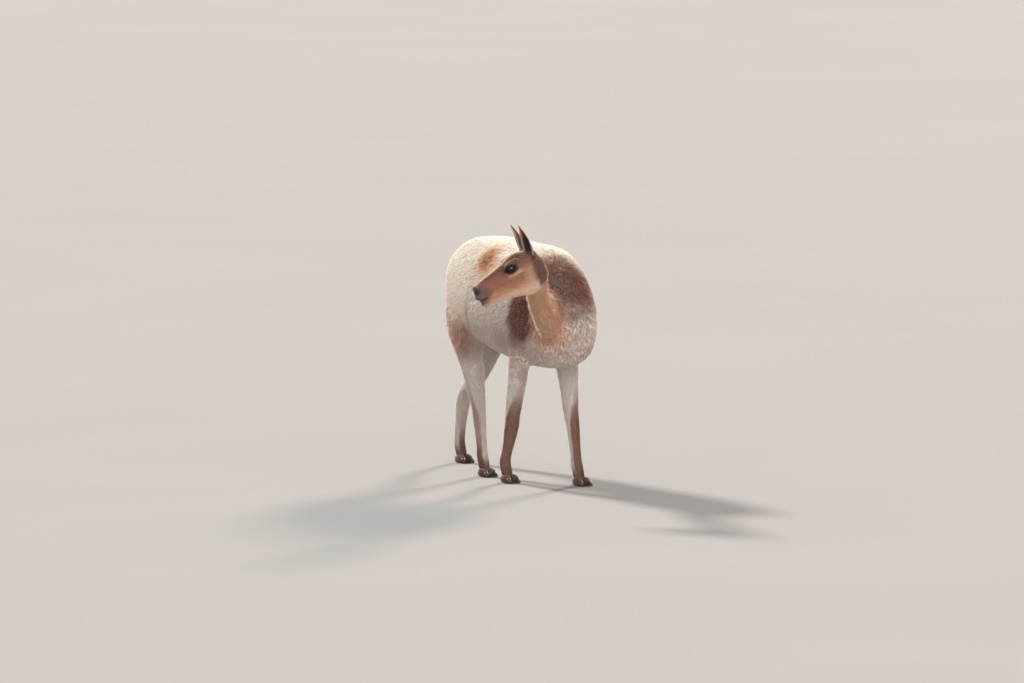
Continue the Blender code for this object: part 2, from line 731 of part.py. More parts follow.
def main():
    clear_scene()
    whole = add_toes(carve_face(add_fleece(add_head(build_body()))))
    nodes = cut_nodes(whole)
    nails = []
    for name, middle in foot_points().items():
        for side, word in ((1, "left"), (-1, "right")):
            nail = build_nail(f"nail_{name}_{word}", middle, side)
            nails.append(keep_largest(combine(nail, [grown(whole, GAP)], "DIFFERENCE")))
    ears = [combine(build_ear(side), [grown(whole, GAP)], "DIFFERENCE") for side in (1, -1)]
    tail = combine(build_tail(), [grown(whole, TAIL_GAP)], "DIFFERENCE")
    eyes = []
    for side, name in ((1, "eye_left"), (-1, "eye_right")):
        mesh = bmesh.new()
        add_ball(mesh, eye_place(side), [EYE_RADIUS] * 3)
        eyes.append(object_of(mesh, name))
    bpy.data.objects.remove(whole)
    for obj in [*ears, tail]:
        keep_largest(obj)
    pale = [nodes.pop("torso"), tail]
    for finish, objects in ((FAWN, [*nodes.values(), *ears]), (CREAM, pale), (DARK, eyes), (HORN, nails)):
        for obj in objects:
            paint(obj, "finish_" + obj.name, finish)
    stand_on_origin([*nodes.values(), *ears, *pale, *eyes, *nails])


main()
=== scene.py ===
"""Looks of the life-size vicuna: a skin under a coat of solid tufts, with eyes and toenails."""

import math
import bmesh
import bpy
import numpy as np
from mathutils import Matrix, Vector
from mathutils.kdtree import KDTree


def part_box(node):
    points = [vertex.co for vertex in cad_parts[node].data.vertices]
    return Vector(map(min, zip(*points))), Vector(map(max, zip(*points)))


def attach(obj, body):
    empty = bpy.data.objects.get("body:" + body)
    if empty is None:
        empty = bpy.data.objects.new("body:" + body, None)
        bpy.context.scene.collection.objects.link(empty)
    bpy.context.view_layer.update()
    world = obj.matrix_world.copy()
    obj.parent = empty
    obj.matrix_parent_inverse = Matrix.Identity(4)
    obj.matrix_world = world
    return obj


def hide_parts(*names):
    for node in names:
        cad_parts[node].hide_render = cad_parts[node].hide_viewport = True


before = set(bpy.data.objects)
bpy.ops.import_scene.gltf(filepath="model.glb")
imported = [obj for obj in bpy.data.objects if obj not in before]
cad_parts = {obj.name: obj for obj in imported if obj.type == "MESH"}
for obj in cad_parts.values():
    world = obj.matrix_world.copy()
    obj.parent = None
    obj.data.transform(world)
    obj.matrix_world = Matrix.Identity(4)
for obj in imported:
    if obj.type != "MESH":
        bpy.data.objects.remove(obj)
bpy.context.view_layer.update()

X_AXIS, Y_AXIS, Z_AXIS = Vector((1, 0, 0)), Vector((0, 1, 0)), Vector((0, 0, 1))

# The camera stands this many degrees to the animal's right of straight ahead, and this many above level.
CAMERA_ASIDE = 27.0
CAMERA_RISE = 5.5
CAMERA_LENS = 295.3
CAMERA_DISTANCE = 30.0
CAMERA_AIM = 0.484
FLOOR_REACH = 150.0
# The lights: a name, the way to each, its strength, its breadth in degrees and its colour.
SUNS = [
    ("behind_left", (-0.80, -0.14, 0.58), 5.5, 8.0, (1.0, 0.93, 0.80)),
    ("behind_right", (-0.60, 0.70, 0.42), 3.0, 10.0, (1.0, 0.84, 0.64)),
    ("front", (0.90, -0.26, 0.14), 3.2, 50.0, (1.0, 0.95, 0.91)),
]
GRAIN_STRETCH = (30.0, 260.0, 120.0)
SKY_COLOUR = (0.86, 0.90, 0.94, 1.0)
SKY_STRENGTH = 0.72

# The animal's shape, as in the solids. It is made in the body's own place and moved by SHIFT at the end.
HEAD_PITCH = math.radians(24.0)
HEAD_HEADING = math.radians(-102.0)
HEAD_ORIGIN = Vector((0.7585, -0.2794, 0.817))
EAR_LENGTH = 0.123
EAR_TILT = 0.003  # the left ear's tip is held this much higher, and the right one's lower
EAR_HALF_WIDTH = 0.0185
EAR_WALL = 0.0022  # thinner than in the solids, because the hair adds to it
EAR_BOW = 0.005
EAR_BASE = (0.019, 0.034, 0.050)
EAR_TIP_OUT = (0.021, 0.060)
EAR_OPENING = (0.80, 0.60, 0.0)
EYE_RADIUS = 0.0205
EYE_AT = Vector((0.101, 0.0340, 0.050))
EYE_LOOK = -14.0  # degrees that each eye looks forward
EYE_TILT = 8.0
LID_OPENING = (0.0185, 0.0125)
LID_CURVE = (1.15, 1.3)  # above 1 the opening's ends and edges draw in to an almond
LID_ROLLS = [(1.0, 0.0017, 0.0006), (1.34, 0.0016, 0.0030, 0.10, 0.90)]
LID_BARE = (0.0030, 0.0026)  # how far past the opening no hair grows, and how far its skin is dark
LID_DARK = (0.0035, 0.0035)
SOCKET_GAP = 0.0002
NOSTRIL = (0.2440, 0.0135, 0.0285)
NOSTRIL_RIM = (0.2450, 0.0135, 0.0285)
NOSTRIL_RADII = (0.0055, 0.0034, 0.0088)
NOSTRIL_LEAN = -28.0
NOSTRIL_BARE = 0.0085
NOSTRIL_DARK = (0.0110, 0.0070)
TOE_RADII = Vector((0.034, 0.0135, 0.017))
TOE_SPREAD = 0.0135
TOE_AHEAD = 0.008
TOE_HEIGHT = 0.013
TOE_SPLAY = 6.0
BODY_VOXEL = 0.008
SKIN_VOXEL = 0.0026
SKIN_TRIANGLES = 150000
TRUNK_WIDEST = 0.47  # the height where each section is widest, as a share of its own height
SKULL_WIDEST = 0.55
JAW_WIDEST = 0.60

# Sections of the trunk: how far forward, top, bottom and half width. Those of the skull and the jaw are the
# same in the head's own axes. Those of the neck, legs and tail are a middle and two half widths.
TRUNK = [
    (-0.400, 0.715, 0.610, 0.035),
    (-0.388, 0.762, 0.558, 0.070),
    (-0.340, 0.806, 0.522, 0.094),
    (-0.255, 0.838, 0.498, 0.119),
    (-0.130, 0.853, 0.464, 0.146),
    (0.030, 0.855, 0.436, 0.162),
    (0.180, 0.849, 0.420, 0.161),
    (0.300, 0.842, 0.416, 0.149),
    (0.395, 0.784, 0.424, 0.129),
    (0.462, 0.712, 0.446, 0.101),
    (0.500, 0.640, 0.490, 0.062),
]
NECK = [
    (0.240, 0.000, 0.650, 0.105, 0.150),
    (0.360, -0.018, 0.632, 0.096, 0.132),
    (0.450, -0.075, 0.612, 0.055, 0.100),
    (0.540, -0.143, 0.636, 0.042, 0.070),
    (0.628, -0.214, 0.694, 0.039, 0.055),
    (0.700, -0.261, 0.752, 0.041, 0.052),
    (0.742, -0.286, 0.810, 0.041, 0.048),
]
LEGS = {
    "front_left": [
        (0.270, 0.080, 0.660, 0.075, 0.050),
        (0.262, 0.082, 0.540, 0.062, 0.045),
        (0.258, 0.085, 0.450, 0.048, 0.041),
        (0.284, 0.083, 0.345, 0.035, 0.034),
        (0.306, 0.080, 0.250, 0.029, 0.027),
        (0.318, 0.081, 0.205, 0.026, 0.0245),
        (0.336, 0.082, 0.115, 0.0205, 0.0205),
        (0.343, 0.083, 0.072, 0.0215, 0.022),
        (0.358, 0.084, 0.034, 0.020, 0.022),
        (0.366, 0.084, 0.014, 0.018, 0.018),
    ],
    "front_right": [
        (0.270, -0.080, 0.660, 0.075, 0.050),
        (0.258, -0.088, 0.540, 0.062, 0.045),
        (0.241, -0.092, 0.450, 0.047, 0.037),
        (0.231, -0.101, 0.345, 0.036, 0.034),
        (0.214, -0.107, 0.250, 0.031, 0.0285),
        (0.201, -0.104, 0.205, 0.029, 0.027),
        (0.161, -0.101, 0.115, 0.021, 0.021),
        (0.144, -0.101, 0.072, 0.0215, 0.022),
        (0.159, -0.101, 0.034, 0.020, 0.022),
        (0.167, -0.101, 0.014, 0.018, 0.018),
    ],
    "hind_left": [
        (-0.275, 0.064, 0.670, 0.118, 0.054),
        (-0.305, 0.076, 0.560, 0.104, 0.052),
        (-0.338, 0.084, 0.455, 0.072, 0.042),
        (-0.396, 0.078, 0.355, 0.047, 0.036),
        (-0.440, 0.067, 0.292, 0.039, 0.031),
        (-0.490, 0.054, 0.232, 0.033, 0.027),
        (-0.506, 0.047, 0.120, 0.021, 0.021),
        (-0.511, 0.046, 0.072, 0.0215, 0.022),
        (-0.496, 0.046, 0.034, 0.020, 0.022),
        (-0.488, 0.046, 0.014, 0.018, 0.018),
    ],
    "hind_right": [
        (-0.255, -0.056, 0.670, 0.110, 0.050),
        (-0.240, -0.073, 0.560, 0.106, 0.045),
        (-0.184, -0.083, 0.460, 0.077, 0.037),
        (-0.132, -0.088, 0.370, 0.048, 0.038),
        (-0.114, -0.084, 0.295, 0.038, 0.031),
        (-0.099, -0.083, 0.240, 0.0295, 0.0265),
        (-0.078, -0.083, 0.120, 0.021, 0.021),
        (-0.070, -0.083, 0.074, 0.0215, 0.022),
        (-0.055, -0.083, 0.034, 0.020, 0.022),
        (-0.047, -0.083, 0.014, 0.018, 0.018),
    ],
}
TAIL = [
    (-0.350, 0.0, 0.755, 0.030, 0.024),
    (-0.412, 0.0, 0.735, 0.033, 0.025),
    (-0.440, 0.0, 0.675, 0.037, 0.024),
    (-0.447, 0.0, 0.610, 0.036, 0.022),
    (-0.444, 0.0, 0.555, 0.022, 0.014),
    (-0.440, 0.0, 0.530, 0.008, 0.006),
]
SKULL = [
    (-0.018, 0.036, -0.032, 0.030),
    (-0.004, 0.058, -0.046, 0.042),
    (0.022, 0.076, -0.052, 0.049),
    (0.055, 0.087, -0.052, 0.052),
    (0.085, 0.085, -0.040, 0.050),
    (0.110, 0.076, -0.030, 0.046),
    (0.138, 0.067, -0.022, 0.037),
    (0.168, 0.060, -0.016, 0.030),
    (0.196, 0.054, -0.012, 0.0265),
    (0.218, 0.048, -0.008, 0.0265),
    (0.236, 0.038, -0.002, 0.024),
    (0.247, 0.025, 0.006, 0.014),
]
JAW = [
    (0.020, -0.014, -0.064, 0.032),
    (0.060, -0.014, -0.067, 0.036),
    (0.100, -0.014, -0.060, 0.032),
    (0.140, -0.012, -0.050, 0.026),
    (0.175, -0.008, -0.045, 0.022),
    (0.205, -0.004, -0.041, 0.021),
    (0.228, -0.003, -0.034, 0.018),
    (0.239, -0.004, -0.021, 0.010),
]
HEAD_FORMS = [
    ((0.060, 0.026, -0.028), (0.048, 0.022, 0.040)),  # cheek
    ((0.088, 0.040, 0.067), (0.026, 0.010, 0.010)),  # brow
    ((0.018, 0.033, 0.060), (0.021, 0.014, 0.018)),  # root of the ear
    ((0.234, 0.013, 0.027), (0.012, 0.010, 0.014)),  # wing of the nostril
    ((0.228, 0.014, 0.000), (0.021, 0.012, 0.015)),  # upper lip
    ((0.223, 0.000, -0.027), (0.017, 0.017, 0.014)),  # chin
    ((0.101, 0.0340, 0.050), (0.0255, 0.0245, 0.0235)),  # lids
]
MOUTH = [
    (0.178, 0.0275, -0.022),
    (0.198, 0.0270, -0.017),
    (0.216, 0.0265, -0.013),
    (0.234, 0.0205, -0.012),
    (0.244, 0.0100, -0.012),
    (0.248, 0.0000, -0.012),
]
NAIL = [(0.020, 0.0135, 0.0085, 0.0100), (0.034, 0.0110, 0.0082, 0.0088), (0.046, 0.0065, 0.0050, 0.0050)]

# The coat. For each part: its depth over the skin, a hair's length and width, and tufts per square metre.
COATS = {
    "trunk": (0.0105, 0.0310, 0.0043, 50000),
    "belly": (0.0060, 0.0220, 0.0040, 50000),
    "neck": (0.0040, 0.0160, 0.0028, 85000),
    "head": (0.0016, 0.0085, 0.0016, 240000),
    "muzzle": (0.0006, 0.0040, 0.0010, 420000),
    "leg": (0.0024, 0.0120, 0.0021, 120000),
    "foot": (0.0012, 0.0070, 0.0015, 220000),
    "tail": (0.0080, 0.0700, 0.0060, 60000),
    "ear": (0.0008, 0.0085, 0.0013, 240000),
}
WOOL_LIE = Vector((-0.80, 0.0, -0.60))
CHEST_LIE = (-0.25, 0.0, -0.97)
CLUMP_SHARE = 9  # tufts of wool that lean together
CLUMP_PULL = 0.42
CLUMP_REACH = 0.018
PIECE_TRIANGLES = 190000
FLOOR_GAP = 0.0012  # no hair comes nearer to the floor
SHORTEST = 0.0016
# How much tufts differ: the least and most share of length, width, height and light, and other spreads.
TUFT_LENGTHS = (0.75, 1.20)
TUFT_WIDTHS = (0.80, 1.20)
TUFT_HEIGHTS = (0.80, 1.12)
TUFT_LIGHTS = (0.93, 1.06)
TUFT_WARMTH = 0.030
TUFT_CURL = 0.12
TUFT_SPIN = 0.12
TUFT_PATCH = 0.0030  # a tuft's size on the flat map
TUFT_ROOT = (0.12, 0.0003)  # how deep a root is sunk: a share of the coat's depth, and this much more
TUFT_SHADE = (0.86, 0.20)  # how light a root is, and how much lighter the tip
# Stray hairs, in short hair and in wool: their share, how much higher they stand, how much paler they are
# at most and how far they take the colour of fuzz. Their paleness and the fuzz colour are painted
# highlight, the glow of backlit hair at the outline.
STRAY_SHORT = (0.10, 2.6, 1.5, 0.05)
STRAY_WOOL = (0.04, 1.4, 1.0, 0.0)
STRAY_LENGTH = 1.15
STRAY_WIDTH = 0.5
BRIGHTEST = 0.92
HIDE_SHADE = 0.80  # painted shade: the hide between the tufts, darkened against their own colour
LASHES = 64
LASH_SIZE = (0.0008, 0.0085, 0.0007)
TAIL_CORE = 0.70
EAR_ROWS = 20
EAR_COLUMNS = 16
LIP_GROOVE = 0.0018
LIP_SINK = (0.0014, 0.0010)  # how far inside the line of the mouth the groove runs
# The cleft of the upper lip, in sections like those of the neck, in the head's own axes.
CLEFT = [
    (0.2500, 0, -0.014, 0.0014, 0.0014),
    (0.2520, 0, 0.000, 0.0014, 0.0014),
    (0.2505, 0, 0.016, 0.0014, 0.0014),
]
NECK_CUT = np.array(Vector((0.462, -0.078, 0.615)))  # the wool ends here, square to the neck's way
NECK_WAY = np.array(Vector((0.70, -0.58, 0.20)).normalized())

KINDS = ["trunk", "neck", "head", "leg", "tail", "ear"]
# What stands where in each row of LINES, the points along the middle of the body's parts.
PLACE, RADIUS, WAY, ALONG, KIND, PART, LENGTH = slice(0, 3), 3, slice(4, 7), slice(7, 10), 10, 11, 12
NECK_STARTS = 0.43
LEGS_START = 0.56
CHUNK = 20000  # points are read this many at a time
# The coat's pieces for each kind of part: a name, a slot and how many lengths a tuft bends in.
COAT_PIECES = {
    "trunk": ("coat_fleece", "wool", 3),
    "neck": ("coat_neck", "neck_wool", 2),
    "head": ("coat_head", "short_fur", 2),
    "leg": ("coat_legs", "leg_fur", 2),
    "tail": ("coat_tail", "wool", 4),
    "ear": ("coat_ears", "short_fur", 2),
}
UNWRAP_GUIDE = (0.12, 0.25, 0.96)  # no part of the body runs along it
# Each part's strip on the flat map: its corner, its width and height there, and its length on the body.
CHARTS = [
    (0.01, 0.01, 0.60, 0.58, 1.00),
    (0.63, 0.01, 0.36, 0.20, 0.52),
    (0.63, 0.22, 0.36, 0.36, 0.30),
    (0.01, 0.61, 0.48, 0.09, 0.62),
    (0.51, 0.61, 0.48, 0.09, 0.62),
    (0.01, 0.71, 0.48, 0.09, 0.70),
    (0.51, 0.71, 0.48, 0.09, 0.62),
    (0.01, 0.81, 0.40, 0.10, 0.30),
    (0.43, 0.81, 0.25, 0.10, 0.12),
    (0.70, 0.81, 0.25, 0.10, 0.12),
]


def spline(rows, steps):
    """Rows of numbers read along a Catmull-Rom curve, with steps between each two given rows."""
    rows = np.array(rows, float)
    ends = np.vstack([2 * rows[0] - rows[1], rows, 2 * rows[-1] - rows[-2]])
    read = []
    for i in range(1, len(ends) - 2):
        p0, p1, p2, p3 = ends[i - 1 : i + 3]
        for s in np.linspace(0, 1, steps, endpoint=False):
            linear = (p2 - p0) * s
            square = (2 * p0 - 5 * p1 + 4 * p2 - p3) * s**2
            cubic = (3 * p1 - p0 - 3 * p2 + p3) * s**3
            read.append(0.5 * (2 * p1 + linear + square + cubic))
    read.append(rows[-1])
    return np.array(read)


def bent(value, power):
    """A sine or cosine with its sign kept, drawn in above a power of 1 and fuller below it."""
    return math.copysign(abs(value) ** power, value)


def ring(centre, across, up, half_width, above, below, sides, power=2.0):
    """One closed section: a rounded oval that may be taller above its centre than below."""
    points = []
    for k in range(sides):
        turn = 2 * math.pi * k / sides
        w = half_width * bent(math.cos(turn), 2 / power)
        h = (above if math.sin(turn) > 0 else below) * bent(math.sin(turn), 2 / power)
        points.append(centre + across * w + up * h)
    return points


def join_rows(mesh, rows, closed=True):
    """Fills in between neighbouring rows of points, and right round them where they are closed."""
    for one, two in zip(rows, rows[1:]):
        for k in range(len(one) if closed else len(one) - 1):
            n = (k + 1) % len(one)
            mesh.faces.new((one[k], one[n], two[n], two[k]))


def add_loft(mesh, rings):
    """Skins a closed tube through the rings, with a fan at each end."""
    rows = [[mesh.verts.new(p) for p in points] for points in rings]
    join_rows(mesh, rows)
    for row, turned in ((rows[0], True), (rows[-1], False)):
        middle = mesh.verts.new(sum((v.co for v in row), Vector()) / len(row))
        for k in range(len(row)):
            n = (k + 1) % len(row)
            mesh.faces.new((row[n], row[k], middle) if turned else (row[k], row[n], middle))


def add_ball(mesh, place, radii, detail=3):
    """An ellipsoid, with its middle and its axes given by the matrix place."""
    shape = place @ Matrix.Diagonal((*radii, 1.0))
    bmesh.ops.create_icosphere(mesh, subdivisions=detail, radius=1.0, matrix=shape)


def linked(name, data):
    """A new object in the scene."""
    obj = bpy.data.objects.new(name, data)
    bpy.context.scene.collection.objects.link(obj)
    return obj


def object_of(mesh, name):
    """Turns a finished bmesh into an object, with its faces turned outwards."""
    bmesh.ops.recalc_face_normals(mesh, faces=mesh.faces[:])
    data = bpy.data.meshes.new(name)
    mesh.to_mesh(data)
    mesh.free()
    return linked(name, data)


def loft_object(name, rings):
    mesh = bmesh.new()
    add_loft(mesh, rings)
    bmesh.ops.triangulate(mesh, faces=mesh.faces[:])
    return object_of(mesh, name)


def settle(obj):
    """Replaces an object's mesh by what its modifiers make of it."""
    bpy.context.view_layer.update()
    graph = bpy.context.evaluated_depsgraph_get()
    data = bpy.data.meshes.new_from_object(obj.evaluated_get(graph))
    obj.modifiers.clear()
    obj.data = data
    return obj


def remeshed(obj, voxel, smoothing):
    """Fuses what overlaps into one closed surface of small even faces, and rounds it."""
    remesh = obj.modifiers.new("fuse", "REMESH")
    remesh.mode = "VOXEL"
    remesh.voxel_size = voxel
    soften = obj.modifiers.new("round", "SMOOTH")
    soften.factor = 0.5
    soften.iterations = smoothing
    return settle(obj)


def combine(obj, others, operation):
    """Joins, cuts or trims obj by the other closed meshes, which are then removed."""
    group = bpy.data.collections.new("operands")
    for other in others:
        group.objects.link(other)
    boolean = obj.modifiers.new("combine", "BOOLEAN")
    boolean.operation = operation
    boolean.solver = "MANIFOLD"
    boolean.operand_type = "COLLECTION"
    boolean.collection = group
    settle(obj)
    bpy.data.collections.remove(group)
    for other in others:
        bpy.data.objects.remove(other)
    return obj


def trunk_rings(sides=40):
    for x, top, bottom, half_width in spline(TRUNK, 4):
        middle = bottom + TRUNK_WIDEST * (top - bottom)
        centre = Vector((x, 0, middle))
        yield ring(centre, Y_AXIS, Z_AXIS, half_width, top - middle, middle - bottom, sides, 2.15)


def tube_rings(rows, steps, sides, guide=None):
    """Sections along a middle line. Each one's first radius points along the guide, or else lies level."""
    read = spline(rows, steps)
    places = [Vector(r[:3]) for r in read]
    for i, row in enumerate(read):
        along = places[min(i + 1, len(places) - 1)] - places[max(i - 1, 0)]
        along.normalize()
        across = guide - along * along.dot(guide) if guide else along.cross(Z_AXIS)
        across.normalize()
        up = across.cross(along).normalized()
        yield ring(places[i], across, up, row[3], row[4], row[4], sides)


def head_frame():
    """The head's own axes: along the nose, to its left and up, from the middle of the back of the skull."""
    heading = Matrix.Rotation(HEAD_HEADING, 4, "Z")
    pitch = Matrix.Rotation(HEAD_PITCH, 4, "Y")
    return Matrix.Translation(HEAD_ORIGIN) @ heading @ pitch


def head_rings(rows, sides, widest):
    turn = head_frame().to_3x3()
    across, up = turn @ Y_AXIS, turn @ Z_AXIS
    for a, top, bottom, half_width in spline(rows, 3):
        middle = bottom + widest * (top - bottom)
        centre = head_frame() @ Vector((a, 0, middle))
        yield ring(centre, across, up, half_width, top - middle, middle - bottom, sides, 2.2)


def mirrored(point, side):
    """A point that is given for the left side, or its mirror image where the side is -1, the right one."""
    return Vector((point[0], point[1] * side, point[2]))


def eye_place(side):
    """The eye's own axes: +X forward along the face, +Y out through the pupil of a left eye, +Z up."""
    look = Matrix.Rotation(math.radians(EYE_LOOK * side), 4, "Z")
    tilt = Matrix.Rotation(math.radians(EYE_TILT), 4, "Y")
    return head_frame() @ Matrix.Translation(mirrored(EYE_AT, side)) @ look @ tilt


def foot_places():
    """Each toe's place: its foot's name, its side of the foot and its middle with its splay."""
    for name, rows in LEGS.items():
        for side in (1, -1):
            middle = Vector((rows[-1][0] + TOE_AHEAD, rows[-1][1] + TOE_SPREAD * side, TOE_HEIGHT))
            splay = Matrix.Rotation(math.radians(TOE_SPLAY * side), 4, "Z")
            yield name, side, Matrix.Translation(middle) @ splay


SHIFT = (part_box("eye_left")[0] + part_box("eye_left")[1]) / 2 - eye_place(1).translation
SHIFT.z = 0.0


def build_forms():
    """The bare shape of trunk, neck, legs, head and tail, fused as one closed surface."""
    mesh = bmesh.new()
    add_loft(mesh, trunk_rings())
    add_loft(mesh, tube_rings(NECK, 4, 28))
    for rows in LEGS.values():
        add_loft(mesh, tube_rings(rows, 4, 20, X_AXIS))
    body = remeshed(object_of(mesh, "body"), BODY_VOXEL, 6)
    mesh = bmesh.new()
    mesh.from_mesh(body.data)
    bpy.data.objects.remove(body)
    add_loft(mesh, head_rings(SKULL, 40, SKULL_WIDEST))
    add_loft(mesh, head_rings(JAW, 32, JAW_WIDEST))
    for middle, radii in HEAD_FORMS:
        for side in (1, -1) if middle[1] else (1,):
            add_ball(mesh, head_frame() @ Matrix.Translation(mirrored(middle, side)), radii, 4)
    core = [(x, y, z, wide * TAIL_CORE, deep * TAIL_CORE) for x, y, z, wide, deep in TAIL]
    add_loft(mesh, tube_rings(core, 4, 20, Y_AXIS))
    forms = remeshed(object_of(mesh, "skin"), SKIN_VOXEL, 4)
    forms.data.calc_loop_triangles()
    thin = forms.modifiers.new("thin", "DECIMATE")
    thin.ratio = SKIN_TRIANGLES / len(forms.data.loop_triangles)
    return settle(forms)


def ear_axes(side):
    """The ear's base and tip, the way that its cup opens, and the way across it, in the head's own axes."""
    base = mirrored(EAR_BASE, side)
    tip = mirrored((*EAR_TIP_OUT, EAR_BASE[2] + EAR_LENGTH + EAR_TILT * side), side)
    up = (tip - base).normalized()
    opening = mirrored(EAR_OPENING, side)
    opening = (opening - up * opening.dot(up)).normalized()
    return base, tip, opening, up.cross(opening)


def ear_roll(s):
    """How far the leaf is rolled to each side at this share of the ear's length, in degrees."""
    return 125 - 75 * s**0.6


def build_ear(side):
    """One upright ear: a leaf of hide rolled into a cup that opens forward and out."""
    base, tip, opening, across = ear_axes(side)
    mesh = bmesh.new()
    rows = []
    for i in range(EAR_ROWS + 1):
        s = i / EAR_ROWS
        width = EAR_HALF_WIDTH * (math.sin(math.pi * (0.20 + 0.78 * s)) ** 1.2)
        roll = math.radians(ear_roll(s))
        radius = width / max(math.sin(min(roll, math.pi / 2)), 0.5)
        centre = base.lerp(tip, s) + opening * (EAR_BOW * math.sin(math.pi * s))
        row = []
        for k in range(EAR_COLUMNS + 1):
            turn = roll * (2 * k / EAR_COLUMNS - 1)
            way = across * math.sin(turn) - opening * math.cos(turn)
            row.append(mesh.verts.new(head_frame() @ (centre + way * radius)))
        rows.append(row)
    join_rows(mesh, rows, closed=False)
    obj = object_of(mesh, "ear")
    wall = obj.modifiers.new("wall", "SOLIDIFY")
    wall.thickness = EAR_WALL
    wall.offset = 0.0
    return settle(obj)


def lid_edge(turn, scale):
    """A point of the almond between the lids, this far round it: how far forward it is and how far up."""
    x = LID_OPENING[0] * scale * bent(math.cos(turn), LID_CURVE[0])
    return x, LID_OPENING[1] * scale * bent(math.sin(turn), LID_CURVE[1])


def lens_rings(side, sides=40):
    """The opening between the lids, which runs out along the eye's axis and widens a little."""
    for out, scale in ((0.25, 0.9), (0.9, 1.0), (1.5, 1.2)):
        points = []
        for k in range(sides):
            x, z = lid_edge(2 * math.pi * k / sides, scale)
            points.append(eye_place(side) @ Vector((x, EYE_RADIUS * out * side, z)))
        yield points


def carve_face(skin):
    """Eye sockets, nostrils, the line of the mouth and the cleft of the upper lip."""
    cuts = []
    for side in (1, -1):
        mesh = bmesh.new()
        add_ball(mesh, eye_place(side), [EYE_RADIUS + SOCKET_GAP] * 3, 4)
        cuts.append(object_of(mesh, "socket"))
        cuts.append(loft_object("opening", lens_rings(side)))
        mesh = bmesh.new()
        lean = Matrix.Rotation(math.radians(NOSTRIL_LEAN), 4, "Y")
        add_ball(mesh, head_frame() @ Matrix.Translation(mirrored(NOSTRIL, side)) @ lean, NOSTRIL_RADII, 3)
        cuts.append(object_of(mesh, "nostril"))
    lips = [(a - LIP_SINK[0], b - LIP_SINK[1], c, LIP_GROOVE, LIP_GROOVE) for a, b, c in MOUTH]
    lips += [(a, -b, c, wide, high) for a, b, c, wide, high in lips[-2::-1]]
    for name, rows, guide in (("mouth", lips, None), ("cleft", CLEFT, X_AXIS)):
        cuts.append(loft_object(name, tube_rings(rows, 3, 12, guide)))
        cuts[-1].data.transform(head_frame())
    return combine(skin, cuts, "DIFFERENCE")


def lid_roll(side, scale, thick, lift, start=0.0, stop=2.0, steps=56, sides=10):
    """A soft roll round the eye's opening, or part of the way round, given in half turns."""
    closed = stop - start >= 2.0
    mesh = bmesh.new()
    rows = []
    for i in range(steps if closed else steps + 1):
        turn = math.pi * (start + (stop - start) * i / steps)
        x, z = lid_edge(turn, scale)
        taper = 1.0 if closed else math.sin(math.pi * (0.04 + 0.92 * i / steps))
        size = thick * (0.85 + 0.25 * math.sin(turn)) * taper
        depth = math.sqrt(max(EYE_RADIUS**2 - x * x - z * z, 0.0))
        out = Vector((x, depth, z)).normalized()
        edge = Vector((x, 0, z))
        edge = (edge - out * edge.dot(out)).normalized()
        row = []
        for k in range(sides):
            around = 2 * math.pi * k / sides
            point = out * (EYE_RADIUS + lift) + (edge * math.cos(around) + out * math.sin(around)) * size
            row.append(mesh.verts.new(eye_place(side) @ mirrored(point, side)))
        rows.append(row)
    join_rows(mesh, rows + rows[:1] if closed else rows)
    if not closed:
        mesh.faces.new(rows[0])
        mesh.faces.new(rows[-1])
    bmesh.ops.triangulate(mesh, faces=mesh.faces[:])
    return object_of(mesh, "lid")


def build_toes():
    toes = []
    for _, _, place in foot_places():
        mesh = bmesh.new()
        shape = place @ Matrix.Diagonal((*TOE_RADII, 1.0))
        bmesh.ops.create_uvsphere(mesh, u_segments=28, v_segments=16, radius=1.0, matrix=shape)
        toes.append(object_of(mesh, "toe"))
    return toes


def ground_block():
    """All that is below the floor, which the soles are cut flat by."""
    mesh = bmesh.new()
    bmesh.ops.create_cube(mesh, size=2.0, matrix=Matrix.Translation((0, 0, -1.0)))
    return object_of(mesh, "ground")


def body_lines():
    """Points along the middle of each part of the body, which say how the coat lies near them."""
    rows = []

    def add(part, kind, places, radii, lie):
        length = 0.0
        for i, place in enumerate(places):
            before, after = places[max(i - 1, 0)], places[min(i + 1, len(places) - 1)]
            length += (place - before).length
            along = (after - before).normalized()
            rows.append((*place, radii[i], *lie(along), *along, KINDS.index(kind), part, length))

    def add_tube(part, kind, read, lie, share=1.0):
        add(part, kind, [Vector(r[:3]) for r in read], [share * (r[3] + r[4]) / 2 for r in read], lie)

    read = spline(TRUNK, 4)
    middles = [Vector((x, 0, bottom + TRUNK_WIDEST * (top - bottom))) for x, top, bottom, _ in read]
    radii = [(top - bottom) / 4 + wide / 2 for _, top, bottom, wide in read]
    add(0, "trunk", middles, radii, lambda along: WOOL_LIE)
    add_tube(1, "neck", [r for r in spline(NECK, 4) if r[0] > NECK_STARTS], lambda along: -along)
    back = head_frame().to_3x3() @ Vector((-1.0, 0.0, -0.10))
    read = spline(SKULL, 3)
    middles = [head_frame() @ Vector((a, 0, (top + low) / 2 - 0.01)) for a, top, low, _ in read]
    add(2, "head", middles, [wide + 0.012 for *_, wide in read], lambda along: back)
    for part, limb in enumerate(LEGS.values(), 3):
        add_tube(part, "leg", [r for r in spline(limb, 4) if r[2] < LEGS_START], lambda along: along)
    add_tube(7, "tail", spline(TAIL, 4)[4:], lambda along: along, TAIL_CORE)
    for part, side in ((8, 1), (9, -1)):
        base, tip, _, _ = ear_axes(side)
        middles = [head_frame() @ base.lerp(tip, s / 10) for s in range(2, 11)]
        add(part, "ear", middles, [0.017] * len(middles), lambda along: along)
    return np.array(rows)


LINES = body_lines()


